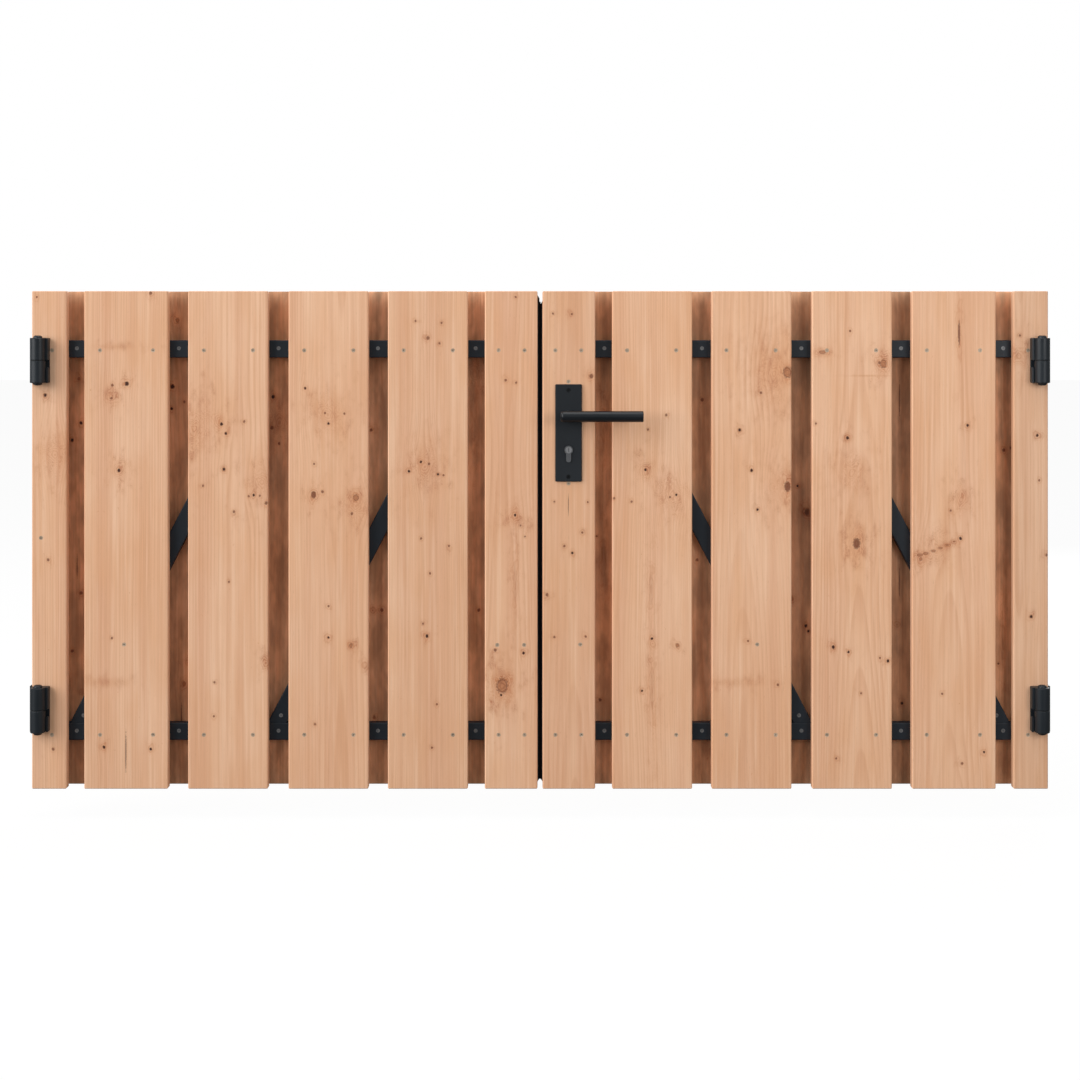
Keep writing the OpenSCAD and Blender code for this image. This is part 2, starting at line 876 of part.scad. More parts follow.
// Euro-profile outline, its round part's middle at the origin, grown by gap
module cylinder_profile(gap) {
    circle(cyl_r + gap);
    translate([-cylinder_web / 2 - gap, -web_drop]) square([cylinder_web + 2 * gap, web_drop]);
    translate([0, -web_drop]) circle(cylinder_web / 2 + gap);
}

module cylinder_cut(gap, y0, y1) {
    translate([lock_u, y1, cyl_z]) rotate([90, 0, 0]) linear_extrude(y1 - y0) cylinder_profile(gap);
}

// Openings through a board or a wall for the spindle, the cylinder and the plate's screws
module lock_cuts(y0, y1) {
    rod_along_y(lock_u, lever_z, journal_r + 1, y0, y1);
    cylinder_cut(slide_gap, y0, y1);
    for (z = plate_screw_zs) rod_along_y(lock_u, z, plate_screw_d / 2 + run_gap, y0, y1);
}

module lock_case() {
    color(grey_steel)
        place(1)
            difference() {
                block([case_u0, -case_t / 2, case_z0], [case_u1, case_t / 2, case_z1]);
                block(
                    [case_u0 + case_wall, -case_in, case_z0 + case_wall],
                    [case_u1 - case_wall, case_in, case_z1 - case_wall]
                );
                rod_along_y(lock_u, lever_z, follower_hub_r + run_gap, -case_t, case_t);
                cylinder_cut(run_gap, -case_t, case_t);
                bolt_openings(case_u1 - 2 * case_wall, case_u1 + over);
                cylinder_screw_hole();
            }
}

// Openings in the lock's front for the latch and the dead bolt
module bolt_openings(u0, u1) {
    half_t = move_t / 2 + slide_gap / 2;
    block([u0, -half_t, latch_z0 - slide_gap], [u1, half_t, latch_z0 + latch_h + slide_gap]);
    block([u0, -half_t, bolt_z0 - slide_gap], [u1, half_t, bolt_z0 + bolt_h + slide_gap]);
}

module cylinder_screw_hole() {
    translate([stile_out, 0, cyl_screw_z])
        rotate([0, -90, 0]) screw_hole(cyl_screw_l, screw_head_d, plate_screw_d);
}

module lock_forend() {
    color(bright_steel)
        place(1)
            difference() {
                block([case_u1, -case_t / 2, forend_z0], [stile_out, case_t / 2, forend_z1]);
                bolt_openings(case_u1 - over, stile_out + over);
                for (z = forend_screw_zs) edge_screw_hole(z);
                cylinder_screw_hole();
            }
}

module strike_plate() {
    hole_t = move_t / 2 + strike_play;
    color(bright_steel)
        place(-1)
            difference() {
                block(
                    [stile_out - forend_t, -case_t / 2, strike_z0],
                    [stile_out, case_t / 2, strike_z1]
                );
                block(
                    [stile_out - forend_t - over, -hole_t, latch_z0 - strike_play],
                    [stile_out + over, hole_t, latch_z0 + latch_h + strike_play]
                );
                block(
                    [stile_out - forend_t - over, -hole_t, bolt_z0 - strike_play],
                    [stile_out + over, hole_t, bolt_z0 + bolt_h + strike_play]
                );
                for (z = strike_screw_zs) edge_screw_hole(z);
            }
}

module latch_bolt() {
    tip = stile_out + latch_out;
    color(bright_steel)
        place(1) {
            // Head, bevelled on the side that meets the strike plate
            translate([0, 0, latch_z0])
                linear_extrude(latch_h)
                    polygon([
                        [stile_out - latch_head_l, -move_t / 2],
                        [tip, -move_t / 2],
                        [tip, -move_t / 4],
                        [tip - 0.8 * latch_out, move_t / 2],
                        [stile_out - latch_head_l, move_t / 2]
                    ]);
            block(
                [hook_u - hook_l, -move_t / 3, latch_z0 + latch_h - tail_h],
                [stile_out - latch_head_l, move_t / 3, latch_z0 + latch_h]
            );
            block([hook_u - hook_l, -move_t / 3, hook_z], [hook_u, move_t / 3, latch_z0 + latch_h]);
        }
}

module dead_bolt() {
    color(bright_steel)
        place(1) {
            block(
                [stile_out - bolt_back, -move_t / 2, bolt_z0],
                [stile_out - bolt_rest, move_t / 2, bolt_z0 + bolt_h]
            );
            block(
                [fork_u - fork_gap / 2 - finger_w, -move_t / 3, bolt_z0],
                [stile_out - bolt_back, move_t / 3, bolt_z0 + bolt_tail_h]
            );
            for (u = [fork_u - fork_gap / 2 - finger_w, fork_u + fork_gap / 2])
                block([u, -move_t / 3, bolt_z0 - finger_h], [u + finger_w, move_t / 3, bolt_z0]);
        }
}

module follower() {
    color(brass)
        place(1)
            difference() {
                union() {
                    rod_along_y(lock_u, lever_z, follower_r, -move_t / 2, move_t / 2);
                    rod_along_y(lock_u, lever_z, follower_hub_r, -case_t / 2, case_t / 2);
                    block(
                        [lock_u - arm_w / 2, -move_t / 3, lever_z],
                        [lock_u + arm_w / 2, move_t / 3, lever_z + arm_r]
                    );
                }
                spindle_square(fit_gap, -case_t, case_t);
            }
}

module spindle_square(gap, y0, y1) {
    half = spindle_w / 2 + gap;
    block([lock_u - half, y0, lever_z - half], [lock_u + half, y1, lever_z + half]);
}

module spindle() {
    color(grey_steel) place(1) spindle_square(0, -spindle_end, spindle_end);
}

// Front lever; the back one is its mirror image
module lever() {
    collar_y = plate_y - slide_gap;
    color(black_steel)
        place(1)
            difference() {
                union() {
                    rod_along_y(lock_u, lever_z, journal_r, collar_y - 1, board_front + 1);
                    rod_along_y(lock_u, lever_z, collar_d / 2, collar_y - collar_t, collar_y);
                    rod_along_y(lock_u, lever_z, neck_r, lever_axis_y, collar_y - 1);
                    translate([lock_u + lever_back, lever_axis_y, lever_z])
                        rotate([0, -90, 0])
                            rotate_extrude()
                                lever_outline(lever_back + lever_l);
                }
                spindle_square(fit_gap, -spindle_end - fit_gap, 0);
            }
}

// Half outline of the lever's bar: a well rounded elbow end and a flat free end
module lever_outline(l) {
    r = lever_d / 2;
    round_end = 5;
    bevel = 1;
    square([r - round_end, l]);
    translate([0, round_end]) square([r, l - round_end - bevel]);
    square([r - bevel, l]);
    intersection() {
        translate([r - round_end, round_end]) circle(round_end);
        square([r, round_end]);
    }
    polygon([[0, l - bevel], [r, l - bevel], [r - bevel, l], [0, l]]);
}

module outer_lever() {
    lever();
}

module inner_lever() {
    mirror([0, 1, 0]) lever();
}

// Front plate; the back one is its mirror image, with plain screw holes
module plate_form() {
    difference() {
        union() {
            upright(
                lock_u,
                (plate_z0 + plate_z1) / 2,
                plate_w,
                plate_h,
                plate_corner,
                plate_y + plate_edge,
                plate_t - plate_edge
            );
            upright(
                lock_u,
                (plate_z0 + plate_z1) / 2,
                plate_w - 2 * plate_edge,
                plate_h - 2 * plate_edge,
                plate_corner,
                plate_y,
                plate_t
            );
        }
        rod_along_y(lock_u, lever_z, journal_r + run_gap, plate_y - over, board_front + over);
        cylinder_cut(slide_gap, plate_y - over, board_front + over);
        for (z = plate_screw_zs) plate_screw_hole(z);
    }
}

module plate_screw_hole(z) {
    facing_back(lock_u, plate_y, z) screw_hole(plate_screw_l, plate_head_d, plate_screw_d);
}

module outer_plate() {
    color(black_steel) place(1) plate_form();
}

module inner_plate() {
    color(black_steel)
        place(1)
            difference() {
                mirror([0, 1, 0]) plate_form();
                for (z = plate_screw_zs) plate_screw_hole(z);
            }
}

module lock_screws() {
    color(grey_steel)
        place(1) {
            for (z = plate_screw_zs)
                facing_back(lock_u, plate_y, z) screw(plate_screw_l, plate_head_d, plate_screw_d);
            for (z = forend_screw_zs) edge_screw(z);
            translate([stile_out, 0, cyl_screw_z])
                rotate([0, -90, 0]) screw(cyl_screw_l, screw_head_d, plate_screw_d);
        }
}

module lock_cylinder() {
    color(bright_steel)
        place(1)
            difference() {
                cylinder_cut(0, -cyl_end, cyl_end);
                rod_along_y(lock_u, cyl_z, plug_r + fit_gap, -cyl_end - over, cyl_end + over);
                block(
                    [lock_u - cylinder_d, -cam_t / 2 - slide_gap, cyl_z - cam_r - slide_gap],
                    [lock_u + cylinder_d, cam_t / 2 + slide_gap, cyl_z + cylinder_d]
                );
                cylinder_screw_hole();
            }
}

// The two plugs and the cam between them turn together
module cylinder_core() {
    color(bright_steel)
        place(1) {
            for (s = [-1, 1])
                difference() {
                    rod_along_y(
                        lock_u,
                        cyl_z,
                        plug_r,
                        s < 0 ? -cyl_end + plug_sink : cam_t / 2,
                        s < 0 ? -cam_t / 2 : cyl_end - plug_sink
                    );
                    translate([lock_u, s * cyl_end, cyl_z]) cube(key_slot, center = true);
                }
            rod_along_y(lock_u, cyl_z, cam_r, -cam_t / 2, cam_t / 2);
            translate([lock_u, 0, cyl_z])
                rotate([0, -cam_start, 0])
                    block([-cam_nose_w / 2, -cam_t / 2, 0], [cam_nose_w / 2, cam_t / 2, cam_nose_r]);
        }
}

// Drop bolt behind the left leaf, raised

module drop_bolt() {
    bend = rod_d / 2;
    top = rod_rise + rod_l;
    color(black_steel)
        place(-1) {
            translate([rod_u, rod_y, rod_rise])
                rotate_extrude()
                    polygon([
                        [0, 0],
                        [rod_tip_d / 2 - rod_tip_bevel, 0],
                        [rod_tip_d / 2, rod_tip_bevel],
                        [rod_tip_d / 2, rod_tip_h],
                        [rod_d / 2, rod_tip_h],
                        [rod_d / 2, rod_l - bend],
                        [0, rod_l - bend]
                    ]);
            translate([rod_u, rod_y, top - bend]) sphere(rod_d / 2);
            translate([rod_u, rod_y, top - bend]) rotate([0, -90, 0]) cylinder(d = rod_d, h = handle_l);
            translate([rod_u, rod_y, collar_z]) cylinder(r = rod_collar_r, h = rod_collar_h);
        }
}

module drop_bolt_guides() {
    color(black_steel)
        place(-1)
            for (z = guide_zs)
                difference() {
                    union() {
                        upright(rod_u, z, guide_w, guide_h, guide_corner, board_back, guide_t);
                        translate([rod_u, rod_y, z - guide_h / 2]) cylinder(r = guide_r, h = guide_h);
                        block(
                            [rod_u - guide_r, board_back + guide_t / 2, z - guide_h / 2],
                            [rod_u + guide_r, rod_y, z + guide_h / 2]
                        );
                    }
                    translate([rod_u, rod_y, z - guide_h])
                        cylinder(r = rod_d / 2 + run_gap, h = 2 * guide_h);
                    front_screw_holes(-1, rod_u - guide_w / 2, rod_u + guide_w / 2, z - 5, z + 5);
                    guide_screw_holes();
                }
}

module guide_screw_holes() {
    for (s = [-1, 1])
        translate([rod_u + s * guide_pitch / 2, board_back + guide_t, lower_guide_z])
            rotate([90, 0, 0]) screw_hole(guide_screw_l);
}

module guide_screws() {
    for (s = [-1, 1])
        translate([rod_u + s * guide_pitch / 2, board_back + guide_t, lower_guide_z])
            rotate([90, 0, 0]) screw(guide_screw_l);
}

// The boards are numbered from the hinge side
function board_name(side, layer, i) = str(side < 0 ? "left" : "right", "_", layer, "_board_", i + 1);

for (side = [-1, 1], i = [0:front_count - 1])
    front_board(side, i);
for (side = [-1, 1], i = [0:back_count - 1])
    back_board(side, i);
rails(-1);  // left_rails
rails(1);  // right_rails
hinge_stile(-1);  // left_hinge_stile
hinge_stile(1);  // right_hinge_stile
left_stile();  // left_closing_stile
right_stile();  // right_closing_stile
braces(-1);  // left_braces
braces(1);  // right_braces
plugs(-1);  // left_end_plugs
plugs(1);  // right_end_plugs
front_screw_set(-1);  // left_front_screws
front_screw_set(1);  // right_front_screws
back_screw_set(-1);  // left_back_screws
back_screw_set(1);  // right_back_screws
hinge_bolts(-1);  // left_hinge_bolts
hinge_bolts(1);  // right_hinge_bolts
gate_hinges(-1);  // left_gate_hinges
gate_hinges(1);  // right_gate_hinges
post_hinges(-1);  // left_post_hinges
post_hinges(1);  // right_post_hinges
hinge_pins();
hinge_washers();
lock_case();
lock_forend();
latch_bolt();
dead_bolt();
follower();
spindle();
outer_lever();
inner_lever();
outer_plate();
inner_plate();
lock_screws();
lock_cylinder();
cylinder_core();
strike_plate();
drop_bolt();
drop_bolt_guides();
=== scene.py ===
# Double garden gate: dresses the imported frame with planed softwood, black coated steel,
# plated screws and soft studio light. Lengths are in metres unless a name says otherwise.
import json
import math
import random

import bmesh
import bpy
from mathutils import Matrix, Vector

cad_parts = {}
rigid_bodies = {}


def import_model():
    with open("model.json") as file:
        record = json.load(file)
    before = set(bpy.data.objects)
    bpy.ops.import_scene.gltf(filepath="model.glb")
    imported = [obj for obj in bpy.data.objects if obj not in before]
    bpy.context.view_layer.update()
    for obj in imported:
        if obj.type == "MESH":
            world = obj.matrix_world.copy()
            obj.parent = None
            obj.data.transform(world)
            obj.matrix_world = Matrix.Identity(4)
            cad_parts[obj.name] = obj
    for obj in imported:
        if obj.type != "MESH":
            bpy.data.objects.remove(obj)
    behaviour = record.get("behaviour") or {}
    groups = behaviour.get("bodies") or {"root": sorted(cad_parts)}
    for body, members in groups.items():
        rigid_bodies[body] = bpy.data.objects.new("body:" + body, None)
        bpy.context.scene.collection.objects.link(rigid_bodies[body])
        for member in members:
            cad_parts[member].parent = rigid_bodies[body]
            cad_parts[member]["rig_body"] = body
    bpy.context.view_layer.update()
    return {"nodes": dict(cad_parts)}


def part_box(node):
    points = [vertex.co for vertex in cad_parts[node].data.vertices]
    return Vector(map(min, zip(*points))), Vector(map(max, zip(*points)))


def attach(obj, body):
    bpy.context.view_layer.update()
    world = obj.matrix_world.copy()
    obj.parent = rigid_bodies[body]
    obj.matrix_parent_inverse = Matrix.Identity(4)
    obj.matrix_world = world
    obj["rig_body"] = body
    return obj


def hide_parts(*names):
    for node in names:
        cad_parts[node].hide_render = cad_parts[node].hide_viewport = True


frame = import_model()
nodes = frame["nodes"]


def srgb(red, green, blue):
    """A colour from 0 to 255 as the shader's linear RGBA."""

    def linear(v):
        v /= 255
        return v / 12.92 if v <= 0.04045 else ((v + 0.055) / 1.055) ** 2.4

    return (linear(red), linear(green), linear(blue), 1.0)


WHITE = (1.0, 1.0, 1.0, 1.0)
# Light: what the room gives to matt faces and to reflections
ROOM_LIGHT = 0.42
ROOM_SHINE = 0.5
# The floor lights the gate like a dark one and shows the camera a white one
FLOOR_COLOUR = srgb(112, 110, 108)
FLOOR_SHOWN = srgb(245, 245, 245)
FLOOR_WHITE = 0.94
# Name, place, width and power of each soft box
LAMPS = [
    ("key", (-6.6, -3.9, 3.6), 7.0, 672.0),
    ("right", (2.0, -2.4, 1.2), 1.2, 23.0),
    ("top", (0.0, -0.6, 4.2), 3.0, 60.0),
    ("rear", (1.5, 4.0, 2.2), 2.6, 110.0),
]
# Wood, from its lightest streaks to the dark eye of a knot
LIGHT_WOOD = srgb(244, 206, 174)
PALE_WOOD = srgb(236, 192, 158)
WARM_WOOD = srgb(228, 178, 140)
PINK_WOOD = srgb(216, 161, 126)
BLUSH_WOOD = srgb(222, 166, 122)
LINE_WOOD = srgb(204, 146, 108)
HALO_WOOD = srgb(190, 118, 72)
RUST_WOOD = srgb(166, 92, 54)
KNOT_WOOD = srgb(116, 64, 42)
FILL_WOOD = srgb(186, 124, 86)
DARK_WOOD = srgb(62, 36, 26)
# Painted shade on the boards behind, where the front boards keep the light off: deep low down,
# lighter close under their upper ends
INNER_SHADE = (0.88, 0.76, 0.67, 1.0)
OPEN_SHADE = (0.98, 0.92, 0.86, 1.0)
# Depths between which the painted shade fades towards their back face
INNER_DEPTH = (0.013, 0.026)
# Heights between which it changes
TOP_SHADE = (0.965, 0.995)
# Boards that are lighter or darker than the others: the front boards' own tone, and for the boards
# behind painted light and shade matched to how bright each gap looks
BOARD_TONES_AND_PAINTED_LIGHT = {
    "left_back_board_1": 1.2,
    "left_back_board_5": 1.14,
    "right_back_board_1": 1.22,
    "right_back_board_2": 0.79,
    "right_back_board_3": 0.81,
    "right_back_board_4": 1.06,
    "right_front_board_1": 0.92,
    "right_front_board_5": 1.03,
}
# Powder coat of the steel
COAT_FRAME = srgb(21, 30, 39)
COAT_HINGE = srgb(22, 29, 35)
COAT_LEVER = srgb(17, 22, 27)
COAT_PLATE = srgb(24, 29, 34)

# The camera stands straight before the boards' front, and its frame is this wide there
EYE_DISTANCE = 3.7
EYE_HEIGHT = 0.93
BOARD_FRONT_Y = -0.03
VIEW_WIDTH = 2.1697
VIEW_MIDDLE_Z = 0.5
SENSOR_WIDTH = 36.0
# The floor lies a little under the drop bolt's lowest place
FLOOR_Z = -0.062
FLOOR_SIZE = 60.0
# Where the soft boxes point
LAMP_AIM = (0.0, 0.0, 0.5)


def make_camera():
    """A level camera whose lens is shifted down to the gate's middle."""
    data = bpy.data.cameras.new("camera")
    data.sensor_width = SENSOR_WIDTH
    data.lens = data.sensor_width * EYE_DISTANCE / VIEW_WIDTH
    data.shift_y = (VIEW_MIDDLE_Z - EYE_HEIGHT) / VIEW_WIDTH
    camera = bpy.data.objects.new("camera", data)
    camera.location = (0.0, BOARD_FRONT_Y - EYE_DISTANCE, EYE_HEIGHT)
    camera.rotation_euler = (math.radians(90), 0.0, 0.0)
    bpy.context.scene.collection.objects.link(camera)
    bpy.context.scene.camera = camera


def add_lamp(name, place, size, power):
    """A square soft box that faces the gate's middle."""
    data = bpy.data.lights.new(name, "AREA")
    data.shape = "SQUARE"
    data.size = size
    data.energy = power
    lamp = bpy.data.objects.new(name, data)
    lamp.location = place
    aim = Vector(LAMP_AIM) - Vector(place)
    lamp.rotation_euler = aim.to_track_quat("-Z", "Y").to_euler()
    bpy.context.scene.collection.objects.link(lamp)


class Graph:
    """Short words for building a node tree."""

    def __init__(self, tree):
        self.tree = tree
        self.nodes = tree.nodes
        self.links = tree.links

    def feed(self, socket, value):
        """Links a socket to another one, or gives it a constant."""
        if isinstance(value, bpy.types.NodeSocket):
            self.links.new(value, socket)
        else:
            socket.default_value = value

    def add(self, kind, inputs=None, **settings):
        """A new node with its settings and its fed inputs."""
        node = self.nodes.new(kind)
        for key, value in settings.items():
            setattr(node, key, value)
        for key, value in (inputs or {}).items():
            self.feed(node.inputs[key], value)
        return node

    def math(self, operation, *values):
        node = self.add("ShaderNodeMath", operation=operation)
        for socket, value in zip(node.inputs, values):
            self.feed(socket, value)
        return node.outputs[0]

    def vector(self, operation, first, second):
        node = self.add("ShaderNodeVectorMath", operation=operation)
        self.feed(node.inputs[0], first)
        self.feed(node.inputs[1], second)
        return node.outputs[0]

    def noise(self, point, scale, detail=2.0, roughness=0.5, distortion=0.0):
        """Noise with its own scale along each axis."""
        values = {
            "Vector": self.vector("MULTIPLY", point, scale),
            "Scale": 1.0,
            "Detail": detail,
            "Roughness": roughness,
            "Distortion": distortion,
        }
        return self.add("ShaderNodeTexNoise", values).outputs["Fac"]

    def product(self, *values):
        """All the values multiplied."""
        result = values[0]
        for value in values[1:]:
            result = self.math("MULTIPLY", result, value)
        return result

    def total(self, first, second):
        return self.math("ADD", first, second)

    def squared(self, value):
        return self.math("POWER", value, 2.0)

    def span(self, value, low, high, out_low=0.0, out_high=1.0, smooth=True):
        """Maps low..high to out_low..out_high and holds it there."""
        node = self.add("ShaderNodeMapRange")
        node.interpolation_type = "SMOOTHSTEP" if smooth else "LINEAR"
        for key, v in zip(range(5), (value, low, high, out_low, out_high)):
            self.feed(node.inputs[key], v)
        return node.outputs[0]

    def mix(self, share, first, second):
        """The first colour where share is 0, the second where it is 1."""
        node = self.add("ShaderNodeMix", data_type="RGBA")
        self.feed(node.inputs[0], share)
        self.feed(node.inputs[6], first)
        self.feed(node.inputs[7], second)
        return node.outputs[2]

    def split(self, point):
        """The X, Y and Z of a vector."""
        return tuple(self.add("ShaderNodeSeparateXYZ", {0: point}).outputs)

    def join(self, x, y, z):
        """A vector of X, Y and Z."""
        return self.add("ShaderNodeCombineXYZ", {0: x, 1: y, 2: z}).outputs[0]

    def bump(self, height, distance, strength):
        values = {"Height": height, "Distance": distance, "Strength": strength}
        return self.add("ShaderNodeBump", values).outputs[0]


def new_material(name):
    """A material's graph, its object coordinates and its shader."""
    material = bpy.data.materials.new(name)
    material.use_nodes = True
    graph = Graph(material.node_tree)
    graph.nodes.clear()
    shader = graph.add("ShaderNodeBsdfPrincipled")
    output = graph.add("ShaderNodeOutputMaterial")
    graph.links.new(shader.outputs[0], output.inputs[0])
    place = graph.add("ShaderNodeTexCoord").outputs["Object"]
    return material, graph, place, shader


def make_room():
    """White beyond the floor, and a white floor that keeps the gate's shadow."""
    world = bpy.data.worlds.new("room")
    bpy.context.scene.world = world
    world.use_nodes = True
    graph = Graph(world.node_tree)
    graph.nodes.clear()
    path = graph.add("ShaderNodeLightPath").outputs
    seen = graph.math("MAXIMUM", path["Is Camera Ray"], path["Is Transmission Ray"])
    strength = graph.span(seen, 0.0, 1.0, ROOM_LIGHT, 1.0, smooth=False)
    shine = graph.span(path["Is Glossy Ray"], 0.0, 1.0, 0.0, ROOM_SHINE - ROOM_LIGHT, smooth=False)
    strength = graph.total(strength, graph.product(shine, graph.math("SUBTRACT", 1.0, seen)))
    light = graph.add("ShaderNodeBackground", {"Color": WHITE, "Strength": strength})
    output = graph.add("ShaderNodeOutputWorld")
    graph.links.new(light.outputs[0], output.inputs[0])

    bpy.ops.mesh.primitive_plane_add(size=FLOOR_SIZE, location=(0.0, 0.0, FLOOR_Z))
    floor = bpy.context.object
    floor.name = "floor"
    material, graph, _, shader = new_material("floor")
    shader.inputs["Roughness"].default_value = 0.9
    shader.inputs["Specular IOR Level"].default_value = 0.0
    path = graph.add("ShaderNodeLightPath").outputs
    white = graph.add("ShaderNodeEmission", {"Color": WHITE, "Strength": 1.0})
    seen = graph.math("MAXIMUM", path["Is Camera Ray"], path["Is Transmission Ray"])
    graph.links.new(graph.mix(seen, FLOOR_COLOUR, FLOOR_SHOWN), shader.inputs["Base Color"])
    both = graph.add("ShaderNodeMixShader", {0: graph.product(seen, FLOOR_WHITE)})
    graph.links.new(shader.outputs[0], both.inputs[1])
    graph.links.new(white.outputs[0], both.inputs[2])
    output = next(n for n in graph.nodes if n.type == "OUTPUT_MATERIAL")
    graph.links.new(both.outputs[0], output.inputs[0])
    floor.data.materials.append(material)


# Wood

# Kind of mark: depth of its core's colour, of its halo and of the rust round it,
# bend of the grain, height over width, how light the wood inside its rim is
MARK_KINDS = {
    "pin": (1.0, 0.80, 0.55, 0.8, 1.15, 0.1),
    "fleck": (0.80, 0.55, 0.35, 0.4, 1.1, 0.55),
    "knot": (0.90, 0.85, 0.8, 1.0, 1.3, 1.0),
    "dark knot": (0.85, 0.85, 0.8, 1.0, 1.6, 0.5),
    "swirl": (0.0, 0.50, 0.40, 1.0, 1.35, 0.0),
    "stain": (0.0, 0.60, 0.65, 0.2, 1.3, 0.0),
    "smear": (0.0, 0.45, 0.5, 0.0, 0.16, 0.0),
    "scratch": (0.0, 0.60, 0.2, 0.0, 0.05, 0.0),
    "streak": (0.10, 0.42, 0.3, 0.0, 9.0, 0.7),
    "crack": (0.60, 0.12, 0.0, 0.0, 24.0, 0.1),
    "resin": (0.80, 0.60, 0.2, 0.0, 11.0, 0.4),
    "slash": (0.62, 0.85, 0.8, 0.4, 0.55, 0.8),
}
